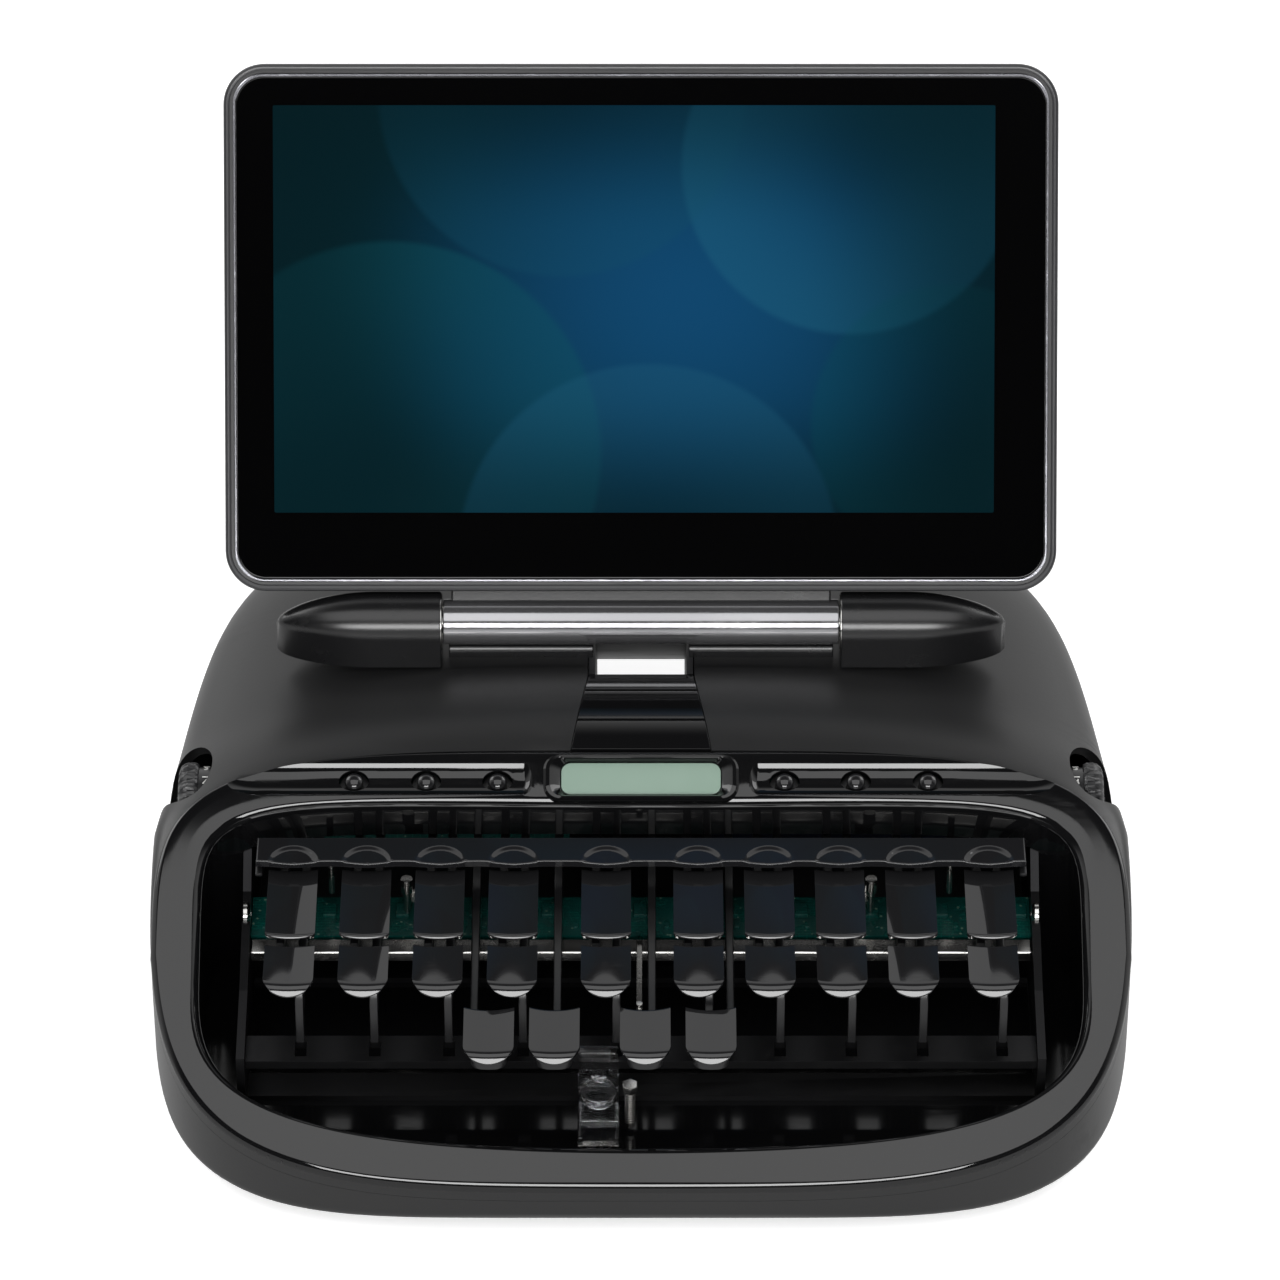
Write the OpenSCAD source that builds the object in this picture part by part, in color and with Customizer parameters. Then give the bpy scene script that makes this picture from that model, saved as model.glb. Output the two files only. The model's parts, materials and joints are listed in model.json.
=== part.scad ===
// Stenotype machine with a hinged touch display.
// X runs to the operator's right, -Y towards the operator, +Z up.
// The origin is on the table under the middle of the whole machine, display open.

/* [Body] */
// Widest width of the housing
body_w = 238; // [230:1:250]
// Width that the housing loses between its widest line and its rear corners, each side
rear_taper = 15; // [8:1:18]
// Reach of the housing in front of the hinge axis
front_reach = 137; // [132:1:142]
// Reach of the housing behind the hinge axis
rear_reach = 70; // [64:1:76]
// Height of the deck beside the hinge
deck_z = 70; // [66:0.5:74]
// Height of the underside above the table
base_z = 3; // [2:0.5:5]
// Wall of the moulded shells
wall = 2.4; // [2:0.1:3]
// Slope of the face that carries the keys' opening
face_slope = 26.5; // [22:0.5:30]
// Distance in front of the hinge axis at which the sloping face starts
face_start = 36; // [34:0.5:38]
// Depth of the parting seam under the sloping face
seam_drop = 5; // [4.5:0.5:7]
// Height of the parting seam at the rear
seam_z = 37; // [32:1:40]

/* [Face bezel] */
// Thickness of the glossy bezel
bezel_t = 2; // [1.6:0.1:2.4]
// Half width of the key opening
open_half_w = 106.5; // [105:0.5:108]
// Distance from the hinge axis to the rear edge of the key opening
open_rear = 48.4; // [48:0.2:50]
// Distance from the hinge axis to the front edge of the key opening
open_front = 127; // [125:0.5:129]
// Length of the status window
window_w = 38; // [34:1:42]
// Depth of the status window along the slope
window_d = 7.8; // [6:0.2:8.4]
// Distances of the function buttons from the middle
button_x = [35, 52.4, 70];
// Radius of a function button's stem
button_r = 2.2; // [1.8:0.1:2.5]

/* [Display] */
// Width of the display housing
lid_w = 204.7; // [196:0.5:208]
// Height of the display housing
lid_h = 129.5; // [120:0.5:134]
// Corner radius of the display housing
lid_corner = 10; // [8:0.5:14]
// Depth of the display housing in front of the hinge plane
lid_front = 4; // [3.5:0.5:5]
// Depth of the display housing behind the hinge plane
lid_back_t = 8; // [7:0.5:9]
// Gap from the hinge axis to the lower edge of the display housing
lid_gap = 7.8; // [7.4:0.2:9]
// Angle that the open display leans back from upright
lid_lean = 35; // [25:1:40]
// Width of the lit picture
picture_w = 177; // [170:1:178]
// Height of the lit picture
picture_h = 100; // [94:1:102]
// Shift of the picture to the left
picture_shift = 1.7; // [0:0.1:2]
// Depth of the frame below the picture
chin = 15.5; // [14:0.5:18]
// Thickness of the cover glass
glass_t = 1.1; // [0.8:0.1:1.4]

/* [Hinge] */
// Height of the hinge axis over the deck
hinge_rise = 8.6; // [8.2:0.1:9.5]
// Radius of the turning barrel
barrel_r = 5.6; // [5:0.1:6]
// Length of the turning barrel
barrel_l = 97.6; // [90:0.2:99]
// Radius of a fixed hinge pod
pod_r = 7.4; // [7:0.1:8]
// Distance from the middle to the inner end of a pod
pod_in = 49.2; // [49:0.1:52]
// Distance from the middle to the tip of a pod
pod_out = 90; // [84:1:94]
// Radius of a hinge pin
pin_r = 2.5; // [2:0.1:3]
// Half width of the slot through the body under the barrel
slot_half_w = 11.3; // [9:0.1:12]

/* [Keys] */
// Positions of the ten key columns across the machine
column_x = [-84.2, -66.4, -48.6, -30.8, -8.4, 13.8, 30.9, 48, 65.1, 84.2];
// Width of a key
key_w = 12.2; // [11:0.1:12.6]
// Distance from the hinge axis to the rear and front ends of the upper keys
upper_span = [67.8, 89];
// Distance from the hinge axis to the rear and front ends of the lower keys
lower_span = [90.4, 106.4];
// Distance from the hinge axis to the rear and front ends of the vowel keys
vowel_span = [108.4, 125];
// Height of the top of the upper keys
upper_z = 55; // [54:0.2:56]
// Height of the top of the lower keys
lower_z = 53.6; // [53:0.2:54.4]
// Height of the top of the vowel keys
vowel_z = 49; // [48.4:0.2:50]
// Positions of the four vowel keys
vowel_x = [-36.2, -20.6, 1, 16.6];
// Positions of the levers that carry the vowel keys
vowel_lever_x = [-40, -20.1, 2.6, 21.4];
// Distance from the hinge axis to the key pivot shaft
pivot_u = 25; // [22:0.5:28]
// Height of the key pivot shaft
pivot_z = 45; // [44:0.5:46]
// Radius of the key pivot shaft
shaft_r = 2; // [1.6:0.1:2.4]
// Thickness of a key lever
lever_t = 2; // [1.6:0.1:2.4]
// Distance from a key's middle to each of its column's two levers
lever_dx = 2.5; // [2.3:0.1:2.7]
// Distance from the hinge axis to the rear and front edges of the number bar
bar_span = [56.5, 66.4];
// Height of the top of the number bar
bar_z = 58; // [57:0.2:59]
// Half length of the number bar
bar_half_l = 91; // [90:0.5:93]

/* [Thumbwheels] */
// Distance from the middle of the machine to a thumbwheel
wheel_x = 110.8; // [110:0.2:111]
// Distance from the hinge axis to the thumbwheel shafts
wheel_u = 36.6; // [34:0.5:38]
// Height of the thumbwheel shafts
wheel_z = 51; // [49:0.2:52]
// Radius of a thumbwheel
wheel_r = 10; // [9:0.2:11]
// Width of the ridged grip of a thumbwheel
wheel_w = 5; // [4:0.2:6]

/* [Clearances] */
// Clearance between parts that must not touch
gap = 0.3; // [0.2:0.05:0.4]
// Running clearance of a pin or shaft in its bore
run = 0.05; // [0.03:0.01:0.1]

/* [Hidden] */
$fn = 64;
KEYS = [
    // name, column, row (0 upper, 1 lower)
    ["key_s_upper", 0, 0], ["key_s_lower", 0, 1],
    ["key_t", 1, 0], ["key_k", 1, 1],
    ["key_p_left", 2, 0], ["key_w", 2, 1],
    ["key_h", 3, 0], ["key_r_left", 3, 1],
    ["key_star_upper", 4, 0], ["key_star_lower", 4, 1],
    ["key_f", 5, 0], ["key_r_right", 5, 1],
    ["key_p_right", 6, 0], ["key_b", 6, 1],
    ["key_l", 7, 0], ["key_g", 7, 1],
    ["key_t_right", 8, 0], ["key_s_right", 8, 1],
    ["key_d", 9, 0], ["key_z", 9, 1],
];
VOWELS = ["key_a", "key_o", "key_e", "key_u"];

big = 400;
half_w = body_w / 2;
axis_z = deck_z + hinge_rise;
// reach of the open display behind the hinge axis, and the whole depth's middle
lid_reach = (lid_gap + lid_h) * sin(lid_lean) + lid_back_t * cos(lid_lean);
hinge_y = (front_reach - lid_reach) / 2;
slope = tan(face_slope);
// height of the plane of the sloping face over the hinge axis's line
face_z0 = deck_z - 1.8 + slope * face_start;
widest_u = -50;
deck_blend = 5;
front_square = 4;
button_all_x = [for (x = [-button_x[2], -button_x[1], -button_x[0]]) x, for (x = button_x) x];
button_u = -(face_start + open_rear) / 2 - 1;

function clamp(v, lo, hi) = min(max(v, lo), hi);
function mix(a, b, t) = a + (b - a) * t;
function ease(t) = let (c = clamp(t, 0, 1)) c * c * (3 - 2 * c);
function signed_pow(v, e) = sign(v) * pow(abs(v), e);
// rounds a value to zero towards the ends of its range, t from 0 to 1
function swell(t, n, m) = pow(max(0, 1 - pow(clamp(t, 0, 1), n)), 1 / m);

// height of the sloping face at distance u behind the hinge axis
function face_z(u) = face_z0 + slope * u;
// half width of the housing's outline at u, drawn in by inset
function outline(u, inset = 0) =
    u < widest_u
    ? (half_w - inset) * swell((widest_u - u) / (front_reach + widest_u - inset),
                               front_square, front_square)
    : (half_w - inset - rear_taper * (u - widest_u) / (rear_reach - widest_u))
      * swell((u - widest_u) / (rear_reach - inset - widest_u), 6, 4);
// the lower of two heights, blended where they are within k of each other
function soft_min(a, b, k) = min(a, b) - pow(max(k - abs(a - b), 0), 2) / (4 * k);
// height of the top and of the widest line at u
function top_z(u) = soft_min(face_z(u), deck_z - 0.0008 * pow(max(u, 0), 2), deck_blend);
function belly_z(u) = mix(10, 40, ease((u + front_reach) / 95));
// how square the upper and lower halves of a section are
function upper_power(u) = 3.2 + 37 * pow(1 - clamp((u + 88) / 75, 0, 1), 3);
lower_power = 7;
// share of its height that a section keeps at the very ends of the housing
blunt = 0.06;

// one section across the housing, n points anticlockwise
function section(u, inset, n) =
    let (w = outline(u, inset),
         belly = belly_z(u),
         rear = swell((u - 20) / (rear_reach - inset - 20), 5, 2.2),
         heel = swell((u - rear_reach + 14) / (14 - inset), 2.4, 2.4),
         nose = swell((-u - front_reach + 12) / (12 - inset), 2.4, 2.4),
         up = (top_z(u) - inset - belly) * max(rear, blunt),
         down = (belly - base_z - inset) * max(heel * nose, blunt))
    [for (i = [0 : n - 1])
        let (a = 360 * i / n, s = sin(a), m = s >= 0 ? upper_power(u) : lower_power)
        [w * signed_pow(cos(a), 2 / m), hinge_y + u,
         belly + (s >= 0 ? up : down) * signed_pow(s, 2 / m)]];

// the housing's moulded form, sections from front to rear
module body_form(inset = 0, stations = 30, n = 40) {
    first = -front_reach + inset;
    last = rear_reach - inset;
    us = [for (i = [0 : stations])
        mix(first, last, (1 - cos(180 * mix(0.012, 0.988, i / stations))) / 2)];
    rings = [for (u = us) section(u, inset, n)];
    polyhedron(
        points = [for (r = rings) for (p = r) p],
        faces = concat(
            [[for (i = [n - 1 : -1 : 0]) i]],
            [[for (i = [0 : n - 1]) stations * n + i]],
            [for (k = [0 : stations - 1]) for (i = [0 : n - 1])
                let (j = (i + 1) % n)
                [k * n + i, k * n + j, (k + 1) * n + j, (k + 1) * n + i]]),
        convexity = 4);
}

// side profiles are drawn as [distance behind the hinge axis, height] and run across X
module across(w) {
    translate([0, hinge_y, 0]) rotate([90, 0, 90]) linear_extrude(w, center = true) children();
}
// plan outlines are drawn as [X, distance behind the hinge axis]
module upright(z0, z1) {
    translate([0, hinge_y, z0]) linear_extrude(z1 - z0) children();
}
// a slab parallel to the sloping face, between two depths under it
module face_slab(top, bottom) {
    rise = slope * big / 2;
    across(big) polygon([
        [-big / 2, face_z0 - rise - bottom], [big / 2, face_z0 + rise - bottom],
        [big / 2, face_z0 + rise - top], [-big / 2, face_z0 - rise - top]]);
}
// an oval with its own squareness in the rear half and in the front half
module oval(a, b, rear_power, front_power, steps = 64) {
    polygon([for (i = [0 : steps - 1])
        let (t = 360 * (i + 0.5) / steps, m = sin(t) > 0 ? rear_power : front_power)
        [a * signed_pow(cos(t), 2 / m), b * signed_pow(sin(t), 2 / m)]]);
}
module rounded(w, h, r) {
    hull() for (x = [r - w / 2, w / 2 - r], y = [r - h / 2, h / 2 - r])
        translate([x, y]) circle(r, $fn = 32);
}
// places children at the hinge axis, at distance u behind it and height z
module at(u, z, x = 0) {
    translate([x, hinge_y + u, z]) children();
}
// places children on the sloping face, with their Z along its normal
module on_face(x, u) {
    at(u, face_z(u), x) rotate([face_slope, 0, 0]) children();
}
module seam_under() {
    across(big) polygon([
        [-big / 2, -big], [-big / 2, face_z(-big / 2) - seam_drop],
        [(seam_z + seam_drop - face_z0) / slope, seam_z], [big / 2, seam_z], [big / 2, -big]]);
}

// --- outlines of the face ---
module housing_plan(inset) {
    steps = 48;
    us = [for (i = [0 : steps])
        mix(-front_reach + inset, -20, (1 - cos(90 * i / steps)))];
    polygon(concat([for (u = us) [outline(u, inset), u]],
                   [for (i = [steps : -1 : 0]) [-outline(us[i], inset), us[i]]]));
}
module ring_plan(inset = 0) {
    top = face_start;
    middle = 85;
    intersection() {
        housing_plan(inset);
        union() {
            intersection() {
                translate([0, -middle])
                    oval(half_w - 0.6 - inset, middle - top - inset, 4.3, 4.3);
                translate([-big / 2, -middle]) square([big, big]);
            }
            translate([-half_w, -front_reach - 5]) square([body_w, front_reach + 5.01 - middle]);
        }
    }
}
module opening_plan(grow = 0) {
    translate([0, -(open_rear + open_front) / 2])
        oval(open_half_w + grow, (open_front - open_rear) / 2 + grow, 7, 3.2);
}

// --- the slot through the body under the barrel ---
slot_slope = 43;
slot_u = -9;
duct_t = 1.6;
module slot_profile(grow) {
    drop = big * tan(slot_slope);
    polygon([[slot_u - grow, deck_z + 10], [slot_u - grow, deck_z - 0.9 - grow],
             [slot_u + big, deck_z - 0.9 - grow * 1.4 - drop],
             [slot_u + big, deck_z + 14 + grow * 1.4 - drop],
             [4 + grow, deck_z - 2.2 + grow * 1.4], [4 + grow, deck_z + 10]]);
}
module slot_path(grow) {
    across(2 * (slot_half_w + grow)) slot_profile(grow);
}

// --- seats that the housing shares with other parts ---
dial_w = 3.4;
wheel_mid = wheel_x - dial_w / 2;
wheel_slot_w = wheel_w + dial_w + 1.2;
// the scoop in the shoulder round a thumbwheel, pointed towards the operator
module wheel_pocket(side) {
    at(-wheel_u, wheel_z, side * wheel_mid) hull() {
        rotate([0, 90, 0]) cylinder(h = wheel_slot_w, r = wheel_r + 0.6, center = true, $fn = 32);
        translate([side * 2, 2, 1.5]) rotate([0, -side * 14, 0])
            scale([7.4, 12.4, 12]) sphere(r = 1, $fn = 28);
        translate([side * 3.6, -13, 1]) sphere(r = 1.6, $fn = 12);
    }
}
screw_spots = [[-86, 44], [86, 44], [-111, -54], [111, -54], [-100.5, -117.6], [100.5, -117.6]];
foot_spots = [[-84, 50], [84, 50], [-84, -106], [84, -106]];
foot_r = 9;
boss_r = 3.6;
bezel_boss_r = 3;
screw_r = 1.5;
socket_u = -40;
socket_r = 9;
port_x = -52;
port_w = 44;
port_h = 12;
port_z = 21;
trim_span = [0.25 - face_start, -9.6];
trim_half_w = [17.2, 12.9];
trim_t = 1.2;
well_floor = 13;
well_wall = 1.6;
module trim_plan(grow = 0) {
    offset(delta = grow) polygon([
        [-trim_half_w[0], trim_span[0]], [trim_half_w[0], trim_span[0]],
        [trim_half_w[1], trim_span[1]], [-trim_half_w[1], trim_span[1]]]);
}

module upper_case() {
    color("#2b2a2c") difference() {
        union() {
            difference() {
                body_form();
                seam_under();
                difference() {
                    body_form(wall, 20, 24);
                    // the deck is thicker under the hinge
                    across(2 * pod_out) translate([-14, deck_z - 5]) square([30, 6]);
                }
                // shallow recess in the deck between the pods
                across(2 * pod_in - 0.4) translate([-7.3, deck_z - 0.8]) square([16, 5]);
            }
            // two saddle ribs under the barrel
            for (side = [-1, 1])
                translate([side * (slot_half_w + 48) / 2, 0, 0])
                    across(48 - slot_half_w - 1) hull() {
                        translate([-2.7, deck_z - 1.5]) square([8, 0.5]);
                        for (u = [-1.2, 3.8]) translate([u, deck_z + 1.1]) circle(1.5, $fn = 24);
                    }
            // screw bosses, wider at their roots
            difference() {
                intersection() {
                    for (p = screw_spots) if (p[1] > -60) at(p[1], seam_z, p[0]) hull() {
                        cylinder(h = 12, r = boss_r, $fn = 20);
                        translate([0, 0, 24]) cylinder(h = 12, r = boss_r + 1.5, $fn = 20);
                    }
                    body_form(0.8, 24, 28);
                }
                face_slab(-10, 3);
            }
        }
        intersection() {
            face_slab(-20, bezel_t);
            upright(-1, 120) ring_plan(-0.01);
        }
        // room under the bezel for the keys and boards
        intersection() {
            face_slab(bezel_t - 1, 60);
            upright(-1, 120) ring_plan(2.2);
        }
        intersection() {
            for (p = screw_spots) if (p[1] < -60)
                at(p[1], 0, p[0]) cylinder(h = 60, r = bezel_boss_r + gap, $fn = 24);
            upright(-1, 120) ring_plan(0.9);
        }
        slot_path(duct_t + gap);
        intersection() {
            upright(deck_z - 20, deck_z + 5) trim_plan(gap / 2);
            deck_skin(-6, trim_t - 0.2);
        }
        for (side = [-1, 1]) wheel_pocket(side);
        for (p = screw_spots) if (p[1] > -60)
            at(p[1], seam_z - 3, p[0]) cylinder(h = 12, r = screw_r - 0.2, $fn = 24);
    }
}

module lower_case() {
    color("#242426") difference() {
        union() {
            difference() {
                intersection() {
                    body_form();
                    seam_under();
                }
                body_form(wall, 20, 24);
            }
            // screw columns, flat pads for the feet and the tripod socket's boss
            intersection() {
                for (p = screw_spots)
                    at(p[1], base_z, p[0]) cylinder(h = 60, r = boss_r, $fn = 16);
                body_form(1, 20, 24);
                seam_under();
            }
            for (p = foot_spots)
                at(p[1], base_z, p[0]) cylinder(h = 3.4, r = foot_r + 1.2, $fn = 24);
            at(socket_u, base_z, 0) cylinder(h = 5, r = socket_r + 3, $fn = 40);
        }
        for (p = screw_spots) at(p[1], base_z - 1, p[0]) {
            cylinder(h = 60, r = screw_r + gap, $fn = 16);
            cylinder(h = 5, r = 3.2, $fn = 16);
        }
        at(socket_u, base_z - 1, 0) cylinder(h = 10, r = socket_r - 1 + gap, $fn = 40);
        at(socket_u, base_z + 4, 0) cylinder(h = 10, r = socket_r + gap, $fn = 40);
        slot_path(duct_t + gap);
        for (side = [-1, 1]) wheel_pocket(side);
        at(rear_reach, port_z, port_x) rotate([90, 0, 0])
            linear_extrude(16, center = true) rounded(port_w + 2 * gap, port_h + 2 * gap, 3);
        // ventilation slots under the boards
        for (x = [-72 : 12 : -24], side = [-1, 1]) at(20, 0, side * x) hull() for (u = [-10, 10])
            translate([0, u, 0]) cylinder(h = 12, r = 1.3, $fn = 8);
    }
}

channel_w = 6.8;
recess_w = 8;
recess_h = 4.8;
frame_half_w = 24;
module front_bezel() {
    color("#0b0b0d") difference() {
        union() {
            intersection() {
                face_slab(0, bezel_t);
                upright(-1, 120) difference() {
                    ring_plan();
                    opening_plan();
                }
            }
            // thicker pad behind the controls
            intersection() {
                face_slab(1, 5);
                upright(-1, 120) difference() {
                    ring_plan(4);
                    opening_plan(2.4);
                    translate([-big / 2, -open_rear - 3 - big]) square([big, big]);
                }
            }
            // raised surround of the status window
            on_face(0, button_u + 0.3) hull() for (k = [0, 1])
                translate([0, 0, k - 0.5])
                    linear_extrude(0.6) rounded(2 * frame_half_w - 4 * k, 12.4 - 2 * k, 4);
            for (p = screw_spots) if (p[1] < -60) intersection() {
                at(p[1], 0, p[0]) cylinder(h = 60, r = bezel_boss_r, $fn = 24);
                face_slab(1, seam_drop);
            }
        }
        on_face(0, button_u + 0.3) translate([0, 0, -7])
            linear_extrude(12) rounded(window_w + 2 * gap, window_d + 2 * gap, 2.6);
        // concave channels with the button recesses
        for (side = [-1, 1]) on_face(0, button_u) hull() for (x = [29, 92])
            translate([side * x, 0, 5.6]) sphere(r = channel_w, $fn = 24);
        for (x = button_all_x) on_face(x, button_u) {
            hull() for (dx = [-1, 1]) translate([dx * (recess_w - recess_h) / 2, 0, -1.6])
                cylinder(h = 6, r1 = recess_h / 2 - 0.2, r2 = recess_h / 2 + 1, $fn = 24);
            translate([0, 0, -9]) cylinder(h = 12, r = button_r + gap, $fn = 32);
        }
        for (p = screw_spots) if (p[1] < -60)
            at(p[1], 0, p[0]) cylinder(h = face_z(p[1]) - 1.2, r = screw_r - 0.2, $fn = 24);
        face_slab(-10, -2);
    }
}

// side profile of a skin on the deck's surface, between two depths under it
module deck_skin(top, bottom) {
    us = [for (i = [0 : 12]) mix(trim_span[0] - 1, trim_span[1] + 1, i / 12)];
    across(80) polygon(concat([for (u = us) [u, top_z(u) - top]],
                              [for (i = [12 : -1 : 0]) [us[i], top_z(us[i]) - bottom]]));
}
module centre_trim() {
    color("#101012") difference() {
        intersection() {
            upright(deck_z - 20, deck_z + 5) trim_plan();
            deck_skin(-0.2, trim_t - 0.2);
        }
        upright(deck_z - 20, deck_z + 5)
            translate([-slot_half_w, -11.6]) square([2 * slot_half_w, 10]);
        // two step lines across the panel
        for (u = [-27.4, -16.6]) across(80) translate([u, deck_z - 0.3 - (u < -20 ? 0.5 : 0)])
            square([0.8, 3]);
    }
}

module status_window() {
    color("#83968a") on_face(0, button_u + 0.3) translate([0, 0, -2.6])
        linear_extrude(2.8) rounded(window_w, window_d, 2.4);
}

module control_board() {
    color("#1d4a33") on_face(0, button_u + 1) translate([-80, -5, -13.8]) cube([160, 11, 1.6]);
}

// a plate of six guide tubes under the face, in which the buttons slide
guide_top = -5.2;
guide_bottom = -9;
module button_guides() {
    color("#3a3a3d") difference() {
        union() {
            for (side = [-1, 1])
                on_face(side * (button_x[0] + button_x[2]) / 2, button_u)
                    translate([-24, -4.4, guide_top - 1.6]) cube([48, 8.8, 1.4]);
            for (x = button_all_x) on_face(x, button_u)
                translate([0, 0, guide_bottom]) cylinder(h = guide_top - guide_bottom, r = 3.6);
            // feet that stand on the control board
            for (side = [-1, 1]) on_face(side * (button_x[0] + button_x[1]) / 2, button_u)
                translate([0, 0, -12.2]) cylinder(h = 12.2 + guide_top, r = 1.4, $fn = 16);
        }
        for (x = button_all_x) on_face(x, button_u)
            translate([0, 0, guide_bottom - 1]) cylinder(h = 20, r = button_r + run);
    }
}

module button(i) {
    color("#17171a") on_face(button_all_x[i], button_u) rotate_extrude()
        polygon(concat([[0, guide_bottom - 2], [button_r + 1, guide_bottom - 2],
                        [button_r + 1, guide_bottom - 1.2], [button_r, guide_bottom - 1.2],
                        [button_r, -1.2]],
                       [for (a = [15 : 15 : 90]) [button_r * cos(a), -1.2 + 1.1 * sin(a)]]));
}

// --- hinge ---
module pod_profile() {
    n = 12;
    polygon(concat([[0, 0], [pod_r, 0], [pod_r, 18]],
        [for (i = [1 : n]) let (t = i / n)
            [pod_r * pow(1 - t * t, 0.7), 18 + (pod_out - pod_in - 18) * t]]));
}
module hinge_pod(side) {
    color("#1c1c1f") at(0, axis_z, side * pod_in) mirror([side < 0 ? 1 : 0, 0, 0]) difference() {
        union() {
            rotate([90, 0, 90]) rotate_extrude() pod_profile();
            // upright cheeks down to the deck
            translate([0, 0, -hinge_rise]) linear_extrude(hinge_rise) rotate(-90) union() {
                pod_profile();
                mirror([1, 0]) pod_profile();
            }
        }
        translate([-1, 0, 0]) rotate([0, 90, 0]) cylinder(h = 17, r = pin_r + 0.01);
    }
}
module hinge_pods() {
    hinge_pod(-1);
    hinge_pod(1);
}

pin_in_barrel = 12;
module hinge_pins() {
    color("#b9bcc2") for (side = [-1, 1])
        at(0, axis_z, side * (pod_in + 15.5 - (15.5 + pin_in_barrel) / 2)) rotate([0, 90, 0])
            cylinder(h = 15.5 + pin_in_barrel, r = pin_r, center = true);
}

module in_lid() {
    at(0, axis_z) rotate([-lid_lean, 0, 0]) children();
}
// an outline on the display's plane, from depth y0 to y1 behind it
module lid_plate(y0, y1) {
    in_lid() translate([0, y1, lid_gap + lid_h / 2]) rotate([90, 0, 0])
        linear_extrude(y1 - y0) children();
}
module hinge_barrel() {
    color("#2f3034") in_lid() difference() {
        union() {
            rotate([0, 90, 0]) cylinder(h = barrel_l, r = barrel_r, center = true);
            translate([-barrel_l / 2 + 2, -1.4, 2]) cube([barrel_l - 4, 4.4, lid_gap - 2]);
        }
        for (side = [-1, 1]) translate([side * barrel_l / 2, 0, 0]) rotate([0, 90, 0])
            cylinder(h = 2 * pin_in_barrel + 1, r = pin_r + run, center = true);
    }
}

// --- display ---
module lid_outline(inset = 0) {
    rounded(lid_w - 2 * inset, lid_h - 2 * inset, lid_corner - inset);
}
frame_depth = 3.2;
edge_round = 3;
module lid_back() {
    color("#3a3a3c") difference() {
        hull() {
            for (a = [0 : 22.5 : 90])
                lid_plate(-lid_front, lid_back_t - edge_round * (1 - sin(a)))
                    lid_outline(edge_round * (1 - cos(a)));
        }
        lid_plate(-lid_front - 1, lid_back_t - 2) lid_outline(2);
    }
}
glass_side = 3.9;
module lid_bezel() {
    color("#8d8f96") lid_plate(-lid_front, -lid_front + 2.2) difference() {
        lid_outline(2 + 0.1);
        lid_outline(glass_side - 0.1);
    }
}
module display_glass() {
    color("#050607") lid_plate(-lid_front + 0.3, -lid_front + 0.3 + glass_t)
        lid_outline(glass_side);
}
module display_module() {
    color("#14455c") union() {
        lid_plate(-lid_front + 0.3 + glass_t, 1.5)
            translate([-picture_shift, chin + glass_side + picture_h / 2 - lid_h / 2])
                rounded(picture_w, picture_h, 0.5);
        lid_plate(1.5, lid_back_t - 2)
            translate([-picture_shift, chin + glass_side + picture_h / 2 - lid_h / 2])
                rounded(picture_w - 20, picture_h - 24, 2);
    }
}

// --- the duct, well and frame ---
module slot_duct() {
    color("#1a1a1c") difference() {
        across(2 * (slot_half_w + duct_t)) intersection() {
            slot_profile(duct_t);
            polygon([[-20, base_z + 0.5], [rear_reach - 14, base_z + 0.5], [rear_reach - 8, base_z + 3],
                     [rear_reach - 4.4, base_z + 10], [rear_reach - 2.6, base_z + 20],
                     [rear_reach - 2.6, deck_z - 0.9], [-20, deck_z - 0.9]]);
        }
        across(2 * slot_half_w) slot_profile(0);
    }
}

module key_well() {
    color("#0e0e10") difference() {
        intersection() {
            upright(well_floor, 100) opening_plan(well_wall);
            face_slab(bezel_t, 100);
        }
        upright(well_floor + well_wall, 101) opening_plan();
        across(big) translate([-open_rear - 4, well_floor + well_wall]) square([40, 80]);
    }
}

plate_x = 95;
plate_t = 2;
stub_r = 1.5;
module key_frame() {
    color("#55575c") difference() {
        union() {
            for (side = [-1, 1]) translate([side * (plate_x + plate_t / 2), 0, 0]) across(plate_t)
                polygon([[-pivot_u + 7, well_floor + well_wall], [-pivot_u + 7, pivot_z + 5],
                         [-pivot_u, pivot_z + 9], [-wheel_u - 6, wheel_z + 5], [-60, pivot_z - 2], [-88, 36],
                         [-110, 34], [-110, well_floor + well_wall]]);
            // rear crossbar and floor strips that tie the two plates
            across(2 * plate_x) translate([-pivot_u + 3, pivot_z - 16]) square([4, 7]);
            for (u = [-104, -62]) across(2 * plate_x)
                translate([u, well_floor + well_wall]) square([8, 1.6]);
            // stub shafts of the thumbwheels
            for (side = [-1, 1]) at(-wheel_u, wheel_z, side * (plate_x + plate_t - 0.5))
                rotate([0, side * 90, 0]) {
                    cylinder(h = wheel_x + wheel_w / 2 + 1.1 - plate_x - plate_t, r = stub_r);
                    cylinder(h = wheel_x - wheel_w / 2 - dial_w + 0.2 - plate_x - plate_t, r = 4);
                }
        }
        at(-pivot_u, pivot_z) rotate([0, 90, 0])
            cylinder(h = 300, r = shaft_r + 0.01, center = true);
    }
}
module key_pivot_shaft() {
    color("#c4c7cc") at(-pivot_u, pivot_z) rotate([0, 90, 0])
        cylinder(h = 2 * (plate_x + plate_t), r = shaft_r, center = true);
}

// --- keys ---
hub_r = 4;
hub_l = 2.8;
spring_w = 1;
lever_bottom = 41.2;
cap_t = 5;
module lever(x) {
    difference() {
        union() {
            translate([x, 0, 0]) across(lever_t) children();
            at(-pivot_u, pivot_z, x) rotate([0, 90, 0]) cylinder(h = hub_l, r = hub_r, center = true);
        }
        at(-pivot_u, pivot_z, x) rotate([0, 90, 0])
            cylinder(h = 2 * hub_l, r = shaft_r + run, center = true);
    }
}
dish = 0.6;
dish_r = 31;
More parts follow.
